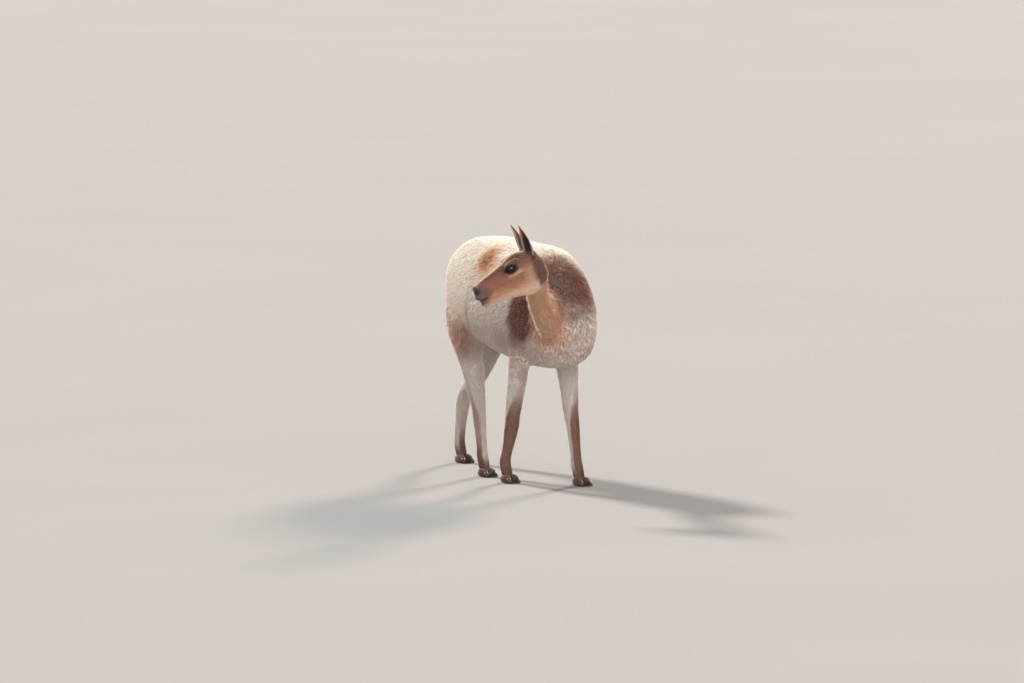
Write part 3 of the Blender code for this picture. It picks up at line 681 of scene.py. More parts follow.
def read_body(points):
    """Each kind of part's share in each point, the way that the coat lies, and the nearest of LINES."""
    share = {kind: np.zeros(len(points)) for kind in KINDS}
    way = np.zeros((len(points), 3))
    nearest = np.zeros(len(points), int)
    for first in range(0, len(points), CHUNK):
        here = slice(first, first + CHUNK)
        gap = np.linalg.norm(points[here][:, None, :] - LINES[None, :, PLACE], axis=2) / LINES[:, RADIUS]
        weight = np.maximum(gap, 0.05) ** -8.0
        weight /= weight.sum(axis=1)[:, None]
        for number, kind in enumerate(KINDS):
            share[kind][here] = weight[:, LINES[:, KIND] == number].sum(axis=1)
        way[here] = weight @ LINES[:, WAY]
        nearest[here] = gap.argmin(axis=1)
    return share, way, LINES[nearest]


def smooth(low, high, value):
    """0 below low, 1 above high and a soft ramp between."""
    t = np.clip((value - low) / (high - low), 0.0, 1.0)
    return t * t * (3 - 2 * t)


def woolliness(points):
    """1 in the fleece, fading to 0 down each leg and at the root of the neck."""
    down = smooth(0.38, 0.55, points[:, 2])
    offset = points - NECK_CUT
    beyond = offset @ NECK_WAY
    aside = np.linalg.norm(offset - beyond[:, None] * NECK_WAY, axis=1)
    neck = smooth(-0.03, 0.03, -beyond)
    return down * np.where((aside < 0.15) | (beyond > 0.12), neck, 1.0)


def coat_at(points):
    """The coat's depth, hair length, hair width and tufts per square metre at each point."""
    share, _, _ = read_body(points)
    part = {kind: share[kind][:, None] for kind in KINDS}
    coat = {name: np.array(row) for name, row in COATS.items()}
    foot = smooth(0.16, 0.05, points[:, 2])[:, None]
    leg = coat["leg"] * (1 - foot) + coat["foot"] * foot
    hair = part["trunk"] * coat["belly"] + part["neck"] * coat["neck"] + part["leg"] * leg
    body = part["trunk"] + part["neck"] + part["leg"]
    woolly = np.minimum(share["trunk"] * 3 + share["leg"] + share["neck"], 1.0)
    wool = (woolliness(points) * woolly)[:, None]
    rest = part["head"] * fine_face(points) + part["tail"] * coat["tail"] + part["ear"] * coat["ear"]
    return (hair * (1 - wool) + coat["trunk"] * wool * body) + rest


def fine_face(points):
    """On the head the hair is shorter and finer the nearer it is to the nose."""
    along = (points - HEAD_PLACE) @ HEAD_TURN[:, 0]
    muzzle = smooth(0.10, 0.24, along)[:, None]
    return np.array(COATS["head"]) * (1 - muzzle) + np.array(COATS["muzzle"]) * muzzle


def tone(red, green, blue):
    """A colour as the eye reads it, 0 to 255, in the linear numbers that the renderer takes."""
    level = np.array((red, green, blue)) / 255.0
    return np.where(level <= 0.04045, level / 12.92, ((level + 0.055) / 1.055) ** 2.4)


# partly the wool's own cream and partly painted light: as pale as the back where the sun lights it
FLEECE_SUNLIT_CREAM = tone(240, 228, 214)
FLEECE_DUSK = tone(222, 202, 182)
# painted shade: the wool's tone where it lies in shade, laid over the lower flanks
FLEECE_LOW_SHADE = tone(220, 186, 170)
CREAM = tone(240, 230, 206)
# painted glow: the warm light through backlit wool near the back's outline
OCHRE_GLOW = tone(222, 176, 112)
WARM = tone(204, 132, 80)
WARM_DEEP = tone(150, 86, 58)
RUST = tone(176, 128, 104)
# brown of the withers, darkened in part as painted shade
MANTLE_BROWN_AND_SHADE = tone(154, 108, 92)
# painted shade: the mantle's deepest dark
MANTLE_DEEP_SHADE = tone(104, 68, 58)
COLUMN = tone(112, 53, 44)
THROAT = tone(236, 176, 136)
NECK_FRONT = tone(226, 150, 106)
NECK_SIDE = tone(192, 126, 94)
# brown of the nape, darkened in part as painted shade on the shaded back of the neck
NAPE_BROWN_AND_SHADE = tone(94, 46, 35)
FOREHEAD = tone(118, 72, 58)
FACE = tone(154, 98, 78)
CHEEK = tone(204, 144, 110)
CHEEK_RUST = tone(154, 90, 66)
CHEEK_PALE = tone(228, 194, 164)
JAW_PALE = tone(238, 202, 168)
UNDER_EYE = tone(222, 174, 146)
EYE_ROUND = tone(58, 42, 42)
MUZZLE = tone(104, 80, 76)
NOSE = tone(48, 43, 42)
LIPS = tone(74, 54, 50)
LEG_PALE = tone(228, 211, 201)
LEG_BROWN = tone(134, 88, 70)
THIGH = tone(150, 98, 72)
FOOT = tone(96, 68, 58)
SOLE = tone(70, 58, 54)
EAR_BACK = tone(76, 48, 42)
EAR_TIP = tone(190, 106, 60)
# painted shade: the inside of the ear's cup
EAR_CUP_SHADE = tone(56, 36, 32)
# pale hair along the ear's edges, partly painted highlight where light catches them
EAR_EDGE_HAIR_AND_HIGHLIGHT = tone(228, 208, 186)
TAIL_TOP = tone(206, 174, 144)
# painted highlight: the pale colour of stray hairs glowing at the outline
RIM_GLOW_FUZZ = tone(250, 234, 208)
BARE_SKIN = tone(30, 24, 23)
LASH = tone(34, 26, 24)
PUPIL = tone(5, 6, 9)
IRIS = tone(38, 25, 19)
IRIS_DARK = tone(20, 14, 12)
EYE_EDGE = tone(20, 14, 13)
HORN = tone(28, 22, 20)
HORN_PALE = tone(86, 70, 60)
FLOOR = tone(122, 122, 125)
FLOOR_PALE = tone(128, 128, 131)
WAVES = np.random.default_rng(5).normal(size=(9, 3))
PHASES = np.random.default_rng(6).uniform(0, 6.28, 9)
HEAD_TURN = np.array(head_frame().to_3x3())
HEAD_PLACE = np.array(HEAD_ORIGIN)

# Marks are laid in order. A patch is a colour, a middle, half sizes, how soft its edge is and its strength.
# A streak is a colour, its two ends, a radius, how soft its edge is and its strength.
FLANK_MARKS = [
    (FLEECE_LOW_SHADE, (0.020, -0.150, 0.735), (0.060, 0.060, 0.055), 1.0, 0.45),
    # painted glow of backlit wool: two warm patches high on the flanks
    (OCHRE_GLOW, (0.125, -0.135, 0.760), (0.060, 0.060, 0.036), 1.0, 0.55),
    (OCHRE_GLOW, (0.350, -0.115, 0.775), (0.100, 0.060, 0.080), 1.0, 0.45),
    (WARM, (0.062, -0.125, 0.790), (0.062, 0.070, 0.050), 0.9, 0.95),
    (WARM_DEEP, (0.055, -0.125, 0.786), (0.034, 0.055, 0.030), 0.9, 0.80),
    (RUST, (-0.028, -0.165, 0.668), (-0.085, -0.140, 0.535), 0.018, 1.0, 0.7),
    (WARM_DEEP, (-0.372, -0.095, 0.66), (-0.215, -0.12, 0.50), 0.012, 1.0, 0.5),
    (THIGH, (-0.200, -0.120, 0.470), (0.105, 0.070, 0.095), 0.9, 0.75),
    # painted shade: a faint brown patch on the flank just behind the shoulder's dark column
    (THIGH, (0.210, -0.160, 0.500), (0.080, 0.060, 0.060), 1.0, 0.30),
]
COLUMN_UPPER = ((0.368, -0.158, 0.700), (0.340, -0.156, 0.585), 0.068, 0.45)
COLUMN_LOWER = ((0.336, -0.154, 0.585), (0.276, -0.130, 0.470), 0.050, 0.8)
BIB = (NECK_FRONT, (0.474, -0.090, 0.568), (0.080, 0.062, 0.062), 1.3, 0.62)
# The dark mantle round the root of the neck, the brown coat made darker by painted shade: the middle and
# half sizes of the patches that make it up.
MANTLE_PATCHES = [
    ((0.392, -0.010, 0.780), (0.062, 0.064, 0.046)),
    ((0.430, 0.015, 0.722), (0.066, 0.066, 0.060)),
    ((0.452, 0.036, 0.660), (0.056, 0.066, 0.054)),
    ((0.400, 0.085, 0.690), (0.075, 0.060, 0.080)),
    ((0.372, -0.100, 0.760), (0.058, 0.070, 0.058)),
    ((0.482, -0.020, 0.655), (0.050, 0.060, 0.055)),
    ((0.448, -0.072, 0.712), (0.062, 0.052, 0.050)),
]
# painted shade: deepest where the neck rises from the withers
MANTLE_SHADE_HEART = (MANTLE_DEEP_SHADE, (0.440, 0.010, 0.735), (0.070, 0.075, 0.075), 0.9, 0.8)
# The head's marks are in its own axes: along the nose, out to either side and up.
CHEEK_STREAK = (CHEEK_RUST, (0.078, 0.050, 0.014), (0.188, 0.030, 0.012), 0.016, 1.2, 0.6)
CHEEK_MARKS = [
    (CHEEK_PALE, (0.056, 0.050, -0.016), (0.020, 0.040, 0.036), 1.0, 0.35),
    (UNDER_EYE, (0.074, 0.054, 0.031), (0.120, 0.048, 0.026), 0.0075, 0.9, 0.8),
]
FACE_MARKS = [
    # dark behind the ear: brown, partly painted shade
    (NAPE_BROWN_AND_SHADE, (0.010, 0.034, 0.072), (0.026, 0.024, 0.022), 0.9, 0.7),
    (EYE_ROUND, (0.102, 0.052, 0.050), (0.0265, 0.030, 0.0165), 0.4, 1.0),
    (EYE_ROUND, (0.127, 0.044, 0.052), (0.013, 0.030, 0.011), 0.9, 0.6),
    (MUZZLE, (0.236, 0.000, 0.006), (0.042, 0.060, 0.038), 0.6, 0.9),
    (NOSE, (0.248, 0.000, 0.026), (0.021, 0.050, 0.017), 0.5, 0.95),
    *((LIPS, one, two, 0.0065, 0.9, 0.8) for one, two in zip(MOUTH, MOUTH[1:])),
    (CHEEK_PALE, (0.252, 0.000, -0.002), (0.010, 0.009, 0.012), 0.6, 0.3),
]
# On each leg by its number: the way that its dark stripe faces, its strength, the height that it starts
# from and how far it spreads round the shin.
STRIPES = {
    3: ((0.80, 0.60, 0.0), 1.0, 0.345, 0.95),
    4: ((0.99, 0.08, 0.0), 1.0, 0.490, 1.15),
    5: ((0.60, 0.80, 0.0), 0.25, 0.240, 0.80),
    6: ((-0.45, -0.89, 0.0), 0.6, 0.440, 0.95),
}


def wobble(points, size):
    """A gentle waviness between about -1 and 1, about this size from crest to trough."""
    return np.sin(points @ WAVES.T / size + PHASES).mean(axis=1) * 1.7


def blob(points, centre, radii, soft=0.5):
    """A soft-edged rounded patch: 1 inside and 0 outside."""
    reach = np.linalg.norm((points - np.array(centre)) / np.array(radii), axis=1)
    reach += 0.10 * wobble(points, 0.020) + 0.05 * wobble(points, 0.007)
    return 1 - smooth(1 - soft / 2, 1 + soft / 2, reach)


def streak(points, start, end, radius, soft=0.6):
    """A soft-edged patch along a line: 1 near the line and 0 further off than the radius."""
    start, run = np.array(start), np.array(end) - np.array(start)
    along = np.clip((points - start) @ run / (run @ run), 0, 1)
    reach = np.linalg.norm(points - start - along[:, None] * run, axis=1) / radius
    reach += 0.14 * wobble(points, 0.020) + 0.10 * wobble(points, 0.007)
    return 1 - smooth(1 - soft / 2, 1 + soft / 2, reach)


def over(colour, other, mask):
    """Lays another colour over what is there, as thickly as the mask says."""
    return colour * (1 - mask[:, None]) + other * mask[:, None]


def plain(colour, points):
    """One colour for all the points."""
    return np.tile(colour, (len(points), 1))


def lay_marks(colour, points, marks):
    """Lays patches and streaks over what is there, in their order."""
    for tint, *form, soft, strength in marks:
        mark = blob if len(form) == 2 else streak
        colour = over(colour, tint, mark(points, *form, soft) * strength)
    return colour


def fleece_colour(points):
    """The wool of the trunk, as pale as sunlit wool above and darker below as painted shade. The flanks'
    marks are given for the right side and lie on both.
    """
    height = points[:, 2]
    drift = wobble(points, 0.05)
    # painted light: the wool starts as pale as the sunlit back
    colour = over(plain(FLEECE_SUNLIT_CREAM, points), FLEECE_DUSK, smooth(-0.3, 0.9, drift) * 0.45)
    # painted shade: darker towards the lower flanks
    colour = over(colour, FLEECE_LOW_SHADE, smooth(0.72, 0.50, height + 0.015 * drift) * 0.80)
    colour = over(colour, CREAM, smooth(0.10, 0.05, np.abs(points[:, 1])) * smooth(0.50, 0.45, height))
    own = points.copy()
    own[:, 1] = -np.abs(own[:, 1])
    colour = lay_marks(colour, own, FLANK_MARKS)
    right = smooth(0.02, -0.02, points[:, 1])
    lower = streak(own, *COLUMN_LOWER) * 0.75 * smooth(0.455, 0.545, height)
    colour = over(colour, COLUMN, np.maximum(streak(own, *COLUMN_UPPER), lower) * right)
    colour = lay_marks(colour, points, [BIB])
    bare = np.ones(len(points))
    for middle, radii in MANTLE_PATCHES:
        bare *= 1 - blob(points, middle, radii, 0.9)
    # the mantle: brown coat, darker higher up as painted shade
    colour = over(colour, MANTLE_BROWN_AND_SHADE, (1 - bare) * (0.20 + 0.80 * smooth(0.56, 0.70, height)))
    colour = lay_marks(colour, points, [MANTLE_SHADE_HEART])
    # painted shade: the deepest dark, mottled through the mantle
    return over(colour, MANTLE_DEEP_SHADE, smooth(0.10, 0.70, wobble(points, 0.016)) * (1 - bare) * 0.35)


def neck_colour(points, lean):
    """Pale at the throat, tan in front, brown at the sides and dark along the nape, most of all high up,
    where the dark is partly painted shade.
    """
    lean = lean + 0.12 * wobble(points, 0.012)
    colour = over(plain(NECK_SIDE, points), NECK_FRONT, smooth(0.45, -0.15, lean))
    colour = over(colour, THROAT, smooth(-0.55, -0.95, lean) * 0.8)
    high = smooth(0.67, 0.77, points[:, 2])
    # the nape's dark, partly painted shade, strongest high up
    return over(colour, NAPE_BROWN_AND_SHADE, smooth(0.40 - 0.80 * high, 0.95 - 0.75 * high, lean) * (0.45 + 0.50 * high))


def head_colour(points):
    """Laid from the cheeks out: brown above, pale along the jaw, dark round the eyes, nose and ears, with a
    painted highlight along the forehead's ridge.
    """
    along, across, up = ((points - HEAD_PLACE) @ HEAD_TURN).T
    own = np.stack([along, np.abs(across), up], axis=1)
    below = 0.085 - 0.16 * np.clip(along - 0.06, 0, 1) - up
    colour = over(plain(CHEEK, points), FACE, smooth(0.058, 0.036, below))
    colour = over(colour, FOREHEAD, smooth(0.030, 0.010, below))
    # painted highlight: a pale line along the top of the forehead and nose, where light catches the ridge
    ridge_highlight = smooth(0.012, 0.003, own[:, 1]) * smooth(0.015, 0.035, up + 0.10 * along)
    colour = over(colour, CHEEK_PALE, ridge_highlight * smooth(0.005, 0.04, along) * 0.55)
    colour = lay_marks(colour, own, [CHEEK_STREAK])
    colour = over(colour, JAW_PALE, smooth(-0.008, -0.036, up + 0.05 * along))
    colour = lay_marks(colour, own, CHEEK_MARKS)
    # behind the ears and down the back of the head: dark brown, partly painted shade
    back = 0.036 - 0.30 * np.clip(up - 0.03, 0, 1) + 0.004 * wobble(points, 0.010)
    behind = smooth(back + 0.006, back - 0.012, along) * smooth(-0.080, -0.040, up)
    colour = over(colour, NAPE_BROWN_AND_SHADE, behind * 0.9)
    return lay_marks(colour, own, FACE_MARKS)


def leg_colour(points, part, unit):
    """Pale legs with a brown stripe that starts narrow and faint and takes in the whole shin lower down."""
    z = points[:, 2]
    colour = plain(LEG_PALE, points)
    for number, (way, strength, top, spread) in STRIPES.items():
        facing = unit @ np.array(way) + 0.12 * wobble(points, 0.012)
        wide = 0.70 - spread * smooth(0.34, 0.19, z)
        full = min(top, 0.36)
        depth = 0.45 * smooth(top + 0.03, top - 0.06, z) + 0.55 * smooth(full, full - 0.12, z)
        depth *= strength + (1 - strength) * smooth(0.16, 0.07, z)
        colour = over(colour, LEG_BROWN, smooth(wide, wide + 0.40, facing) * depth * (part == number))
    return over(colour, FOOT, smooth(0.085, 0.035, z) * 0.9)


def ear_colour(points, unit, normals):
    """Dark behind, dark inside as painted shade in the cup, rust towards the tip, with a rim of long pale
    hair along both edges that is partly painted highlight.
    """
    own = (points - HEAD_PLACE) @ HEAD_TURN
    inside = smooth(0.0, -0.4, (normals * unit).sum(axis=1))
    colour = plain(EAR_BACK, points)
    for side in (1, -1):
        base, tip, opening, across = (np.array(v) for v in ear_axes(side))
        run = tip - base
        s = np.clip((own - base) @ run / (run @ run), 0, 1)
        aside = own - base - s[:, None] * run
        turn = np.abs(np.arctan2(aside @ across, -(aside @ opening)))
        edge = turn / np.radians(ear_roll(s))
        rim = smooth(0.88, 0.99, edge) * smooth(1.20, 1.05, edge)
        rim *= smooth(0.12, 0.30, s) * smooth(0.98, 0.80, s)
        # painted shade inside the cup
        mine = over(plain(EAR_BACK, points), EAR_CUP_SHADE, inside * 0.85)
        mine = over(mine, EAR_TIP, smooth(0.45, 0.80, s) * smooth(0.20, 0.60, edge) * 0.85)
        # pale edge hair, partly painted highlight
        mine = over(mine, EAR_EDGE_HAIR_AND_HIGHLIGHT, rim * 0.8)
        colour = np.where((own[:, [1]] * side) > 0, mine, colour)
    return colour


def markings(points, normals):
    """The coat's colour at each point of the body, the same for the skin and for what grows on it."""
    share, _, line = read_body(points)
    along = line[:, ALONG]
    unit = points - line[:, PLACE]
    unit -= along * (unit * along).sum(axis=1)[:, None]
    unit /= np.linalg.norm(unit, axis=1)[:, None] + 1e-9
    rise = np.array((0.0, 0.0, 1.0)) - along * along[:, [2]]
    lean = (unit * rise).sum(axis=1) / (np.linalg.norm(rise, axis=1) + 1e-9)
    beyond = (points - NECK_CUT) @ NECK_WAY + 0.012 * wobble(points, 0.020)
    neck = share["neck"] + share["trunk"] * smooth(0.02, 0.06, beyond)
    neck = np.clip(smooth(-0.030, 0.020, beyond) * neck * 1.6, 0, 1)
    tail = over(plain(TAIL_TOP, points), CREAM, smooth(-0.2, 0.5, unit[:, 0]))
    colour = fleece_colour(points)
    colour = over(colour, leg_colour(points, line[:, PART], unit), smooth(0.46, 0.37, points[:, 2]))
    colour = over(colour, neck_colour(points, lean), neck)
    colour = over(colour, head_colour(points), smooth(0.35, 0.65, share["head"]))
    colour = over(colour, tail, share["tail"])
    colour = over(colour, ear_colour(points, unit, normals), smooth(0.4, 0.7, share["ear"]))
    return over(colour, SOLE, smooth(0.006, 0.002, points[:, 2]))


def unwrap(points):
    """Each point's place on a flat map: a strip for each part, along it one way and around it the other."""
    _, _, line = read_body(points)
    offset = points - line[:, PLACE]
    along = line[:, ALONG]
    down = (offset * along).sum(axis=1) + line[:, LENGTH]
    aside = np.cross(along, np.array(UNWRAP_GUIDE))
    aside /= np.linalg.norm(aside, axis=1)[:, None]
    rise = np.cross(aside, along)
    turn = np.arctan2((offset * aside).sum(axis=1), (offset * rise).sum(axis=1)) / (2 * math.pi) + 0.5
    left, bottom, width, height, length = np.array(CHARTS)[line[:, PART].astype(int)].T
    return np.stack([left + width * np.clip(down / length, 0, 1), bottom + height * turn], axis=1)


def unit_rows(rows):
    return rows / (np.linalg.norm(rows, axis=1)[:, None] + 1e-12)


def eye_reach(points, side, margin):
    """How near each point is to an eye's opening, below 1 inside the oval that is wider by the margin.

    With it go whether the point is on the eye's outer side, and its place in the eye's own axes.
    """
    own = transformed(points, eye_place(side).inverted())
    x, y, z = own.T
    shape = (x / (LID_OPENING[0] + margin[0])) ** 2 + (z / (LID_OPENING[1] + margin[1])) ** 2
    return shape, y * side > 0, own


def nostril_reach(points, side):
    """How far each point is from the middle of a nostril's rim."""
    return np.linalg.norm(points - np.array(head_frame() @ mirrored(NOSTRIL_RIM, side)), axis=1)


def bare_places(points, normals):
    """True where no hair grows: eye openings, nostrils and soles."""
    bare = (points[:, 2] < 0.004) & (normals[:, 2] < -0.4)
    for side in (1, -1):
        shape, outside, own = eye_reach(points, side, LID_BARE)
        bare |= (shape < 1) & outside & (np.linalg.norm(own, axis=1) < 0.03)
        bare |= nostril_reach(points, side) < NOSTRIL_BARE
    return bare


def transformed(points, place):
    turn = np.array(place.to_3x3())
    return points @ turn.T + np.array(place.translation)


def mesh_points(data):
    """A mesh's points and their normals, as rows."""
    co, normal = np.empty(len(data.vertices) * 3), np.empty(len(data.vertices) * 3)
    data.vertices.foreach_get("co", co)
    data.vertex_normals.foreach_get("vector", normal)
    return co.reshape(-1, 3), normal.reshape(-1, 3)


def write_colours(data, colours):
    """Keeps the markings on a mesh's points, for its material to read."""
    rows = np.concatenate([colours, np.ones((len(colours), 1))], axis=1)
    store = data.color_attributes.new("Coat", "FLOAT_COLOR", "POINT")
    store.data.foreach_set("color", np.clip(rows, 0, 1).astype(np.float32).ravel())


def tuft_faces(segments):
    """The triangles of one tuft, three sides that run up to a point, by the numbers of its points."""
    faces = []
    for low in range(0, 3 * segments, 3):
        for k in range(3):
            n = (k + 1) % 3
            if low == 3 * (segments - 1):
                faces.append((low + 3, low + n, low + k))
            else:
                faces.append((low + 3 + n, low + n, low + k))
                faces.append((low + 3 + k, low + 3 + n, low + k))
    return np.array(faces)


def tuft_mesh(name, roots, normals, ways, sizes, colours, draw, bends, segments):
    """One mesh of many small tufts, each a tapered three-sided blade that rises and then lies over."""
    count = len(roots)
    depth, length, width = sizes.T[:3]
    sides = unit_rows(np.cross(normals, ways))
    curl = draw.normal(0, TUFT_CURL, count) * length
    rise = depth * draw.uniform(*TUFT_HEIGHTS, count)
    light = draw.uniform(*TUFT_LIGHTS, count)
    warm = draw.normal(0, TUFT_WARMTH, count)
    tint = np.stack([light * (1 + warm), light, light * (1 - warm)], axis=1)
    chart = unwrap(roots)
    patch = np.array(((0.0, 0.0), (TUFT_PATCH, 0.0), (TUFT_PATCH / 2, 0.0)))
    verts, shades, marks = [], [], []
    for s in np.linspace(0, 1, segments + 1):
        height = rise * math.sin(min(s * 1.5, 1.0) * math.pi / 2) - TUFT_ROOT[0] * depth - TUFT_ROOT[1]
        middle = roots + ways * (length * s)[:, None] + normals * height[:, None]
        middle += sides * (curl * s * s)[:, None] + bends * (s * s)
        shade = colours * tint * (TUFT_SHADE[0] + TUFT_SHADE[1] * s)
        taper = (0.80 + 0.9 * s) if s < 0.3 else 1.07 * (1 - s) / 0.7
        half = (width * 0.5 * taper)[:, None]
        corners = (sides * half, sides * -half, normals * half * 0.8) if s < 1 else (sides * 0,)
        for corner, place in zip(corners, patch if s < 1 else patch[2:]):
            verts.append(middle + corner)
            shades.append(shade)
            marks.append(chart + place + np.array((0.0, TUFT_PATCH * s)))
    points = np.stack(verts, axis=1).reshape(-1, 3)
    corners = (tuft_faces(segments)[None] + (np.arange(count) * len(verts))[:, None, None]).reshape(-1)
    data = bpy.data.meshes.new(name)
    data.vertices.add(len(points))
    data.vertices.foreach_set("co", points.astype(np.float32).ravel())
    data.loops.add(len(corners))
    data.loops.foreach_set("vertex_index", corners.astype(np.int32))
    data.polygons.add(len(corners) // 3)
    data.polygons.foreach_set("loop_start", np.arange(0, len(corners), 3, dtype=np.int32))
    data.update(calc_edges=True)
    write_colours(data, np.stack(shades, axis=1).reshape(-1, 3))
    mark = np.stack(marks, axis=1).reshape(-1, 2)
    data.uv_layers.new(name="OFBake").data.foreach_set("uv", mark[corners].astype(np.float32).ravel())
    data.shade_smooth()
    return linked(name, data)


def skin_samples(skin, draw):
    """Seeded places over the skin for the tufts, as many to each face as its coat asks for."""
    data = skin.data
    data.calc_loop_triangles()
    co, normal = mesh_points(data)
    tris = np.empty(len(data.loop_triangles) * 3, np.int32)
    data.loop_triangles.foreach_get("vertices", tris)
    tris = tris.reshape(-1, 3)
    a, b, c = co[tris[:, 0]], co[tris[:, 1]], co[tris[:, 2]]
    area = np.linalg.norm(np.cross(b - a, c - a), axis=1) / 2
    wish = area * coat_at((a + b + c) / 3)[:, 3]
    count = int(wish.sum())
    pick = draw.choice(len(tris), size=count, p=wish / wish.sum())
    s, t = draw.uniform(0, 1, (2, count))
    folded = s + t > 1
    s, t = np.where(folded, 1 - s, s)[:, None], np.where(folded, 1 - t, t)[:, None]
    roots = a[pick] * (1 - s - t) + b[pick] * s + c[pick] * t
    ends = normal[tris[pick]]
    normals = unit_rows(ends[:, 0] * (1 - s - t) + ends[:, 1] * s + ends[:, 2] * t)
    keep = ~bare_places(roots, normals)
    return roots[keep], normals[keep]


def clump_bends(roots, normals, ways, sizes, draw):
    """How far each woolly tuft's tip is drawn to the tip of the clump that it belongs to."""
    heads = draw.permutation(len(roots))[: max(len(roots) // CLUMP_SHARE, 1)]
    tree = KDTree(len(heads))
    for i, head in enumerate(heads):
        tree.insert(Vector(roots[head]), i)
    tree.balance()
    own = heads[[tree.find(Vector(root))[1] for root in roots]]
    tips = roots + ways * sizes[:, [1]] + normals * sizes[:, [0]]
    bends = (tips[own] - tips) * CLUMP_PULL
    reach = np.linalg.norm(bends, axis=1)[:, None]
    return bends * np.minimum(1.0, CLUMP_REACH / (reach + 1e-9))


def grow_coat(skin):
    """Covers the skin with tufts and gives them back as pieces, each with the slot it is finished from."""
    draw = np.random.default_rng(11)
    roots, normals = skin_samples(skin, draw)
    share, way, _ = read_body(roots)
    way = over(way, np.array(CHEST_LIE), smooth(0.34, 0.45, roots[:, 0]) * share["trunk"])
    ways = unit_rows(way - normals * (way * normals).sum(axis=1)[:, None])
    spin = draw.normal(0, TUFT_SPIN, len(roots))[:, None]
    ways = unit_rows(ways * np.cos(spin) + np.cross(normals, ways) * np.sin(spin))
    sizes = coat_at(roots)[:, :3]
    sizes[:, 1] *= draw.uniform(*TUFT_LENGTHS, len(roots))
    sizes[:, 2] *= draw.uniform(*TUFT_WIDTHS, len(roots))
    drop = np.maximum(-ways[:, 2], 0.05)
    sizes[:, 1] = np.minimum(sizes[:, 1], np.maximum(roots[:, 2] - FLOOR_GAP, 0) / drop)
    short = (share["trunk"] < 0.5)[:, None]
    many, tall, pale, glow_veil = np.where(short, STRAY_SHORT, STRAY_WOOL).T
    stray = draw.uniform(0, 1, len(roots)) < many * (share["ear"] < 0.5)
    sizes[stray, 0] *= tall[stray]
    sizes[stray, 1] *= STRAY_LENGTH
    sizes[stray, 2] *= STRAY_WIDTH
    colours = markings(roots, normals)
    # painted highlight: stray short hairs made paler and veiled with the fuzz colour, so that they glow at
    # the outline
    paler = np.minimum(pale[stray], BRIGHTEST / colours[stray].max(axis=1))
    colours[stray] = over(colours[stray] * paler[:, None], RIM_GLOW_FUZZ, glow_veil[stray])
    wool = woolliness(roots) * (share["trunk"] + share["neck"] + share["leg"]) > 0.35
    most = np.stack([share[kind] for kind in KINDS], axis=1).argmax(axis=1)
    kinds = np.where(wool, KINDS.index("trunk"), np.where(share["tail"] > 0.5, KINDS.index("tail"), most))
    kinds[sizes[:, 1] < SHORTEST] = -1
    pieces = []
    for number, kind in enumerate(KINDS):
        name, slot, segments = COAT_PIECES[kind]
        own = np.flatnonzero(kinds == number)
        bends = np.zeros((len(own), 3))
        if segments > 2:
            bends = clump_bends(roots[own], normals[own], ways[own], sizes[own], draw)
        parts = -(-len(own) * len(tuft_faces(segments)) // PIECE_TRIANGLES)
        for part in range(parts):
            mine = own[part::parts]
            obj = tuft_mesh(f"{name}_{part}", roots[mine], normals[mine], ways[mine], sizes[mine],
                            colours[mine], draw, bends[part::parts], segments)
            pieces.append((obj, slot))
    return pieces


def build_lashes(side):
    """Dark lashes along the upper lid, which stand out and droop at their ends."""
    draw = np.random.default_rng(20 + side)
    turn = eye_place(side).to_3x3()
    roots, ways, normals = [], [], []
    for i in range(LASHES):
        around = math.pi * (0.08 + 0.84 * i / (LASHES - 1))
        x, z = LID_OPENING[0] * math.cos(around), LID_OPENING[1] * math.sin(around)
        out = Vector((x, math.sqrt(EYE_RADIUS**2 - x * x - z * z), z)).normalized()
        way = Vector((out.x * 0.7, out.y + 0.5, out.z * 0.2 - 0.35)).normalized()
        rise = Vector((0, 0.2, 1)).normalized()
        roots.append(eye_place(side) @ mirrored(out * (EYE_RADIUS + 0.0020), side))
        ways.append(turn @ mirrored(way, side))
        normals.append(turn @ mirrored((rise - way * rise.dot(way)).normalized(), side))
    roots, ways, normals = np.array(roots), np.array(ways), np.array(normals)
    sizes = np.tile(LASH_SIZE, (LASHES, 1)) * draw.uniform(0.8, 1.2, (LASHES, 1))
    name = "lashes_left" if side > 0 else "lashes_right"
    return tuft_mesh(name, roots, normals, ways, sizes, plain(LASH, roots), draw, np.zeros((LASHES, 3)), 3)


def build_eye(side):
    """The eyeball, with the clear front of the eye standing a little proud."""
    mesh = bmesh.new()
    bmesh.ops.create_icosphere(mesh, subdivisions=5, radius=1.0)
    own = mesh.verts.layers.float_vector.new("Eye")
    for vert in mesh.verts:
        vert[own] = mirrored(vert.co, side)
        front = max(vert.co.y * side - 0.80, 0.0) / 0.20
        vert.co *= EYE_RADIUS * (1 + 0.035 * front)
    bmesh.ops.transform(mesh, matrix=eye_place(side), verts=mesh.verts[:])
    obj = object_of(mesh, "eyeball_left" if side > 0 else "eyeball_right")
    obj.data.shade_smooth()
    return obj


def build_nail(place, name):
    """The dark curved nail at the tip of one toe, with a rounded back and a worn point."""
    across = place.to_3x3() @ Y_AXIS
    rings = []
    for x, z, wide, high in spline(NAIL, 6):
        centre = place @ Vector((x, 0, z - TOE_HEIGHT))
        rings.append(ring(centre, across, Z_AXIS, wide, high, min(z, high), 24, 2.3))
    obj = loft_object("nail_piece_" + name, rings)
    obj.data.shade_smooth()
    return obj


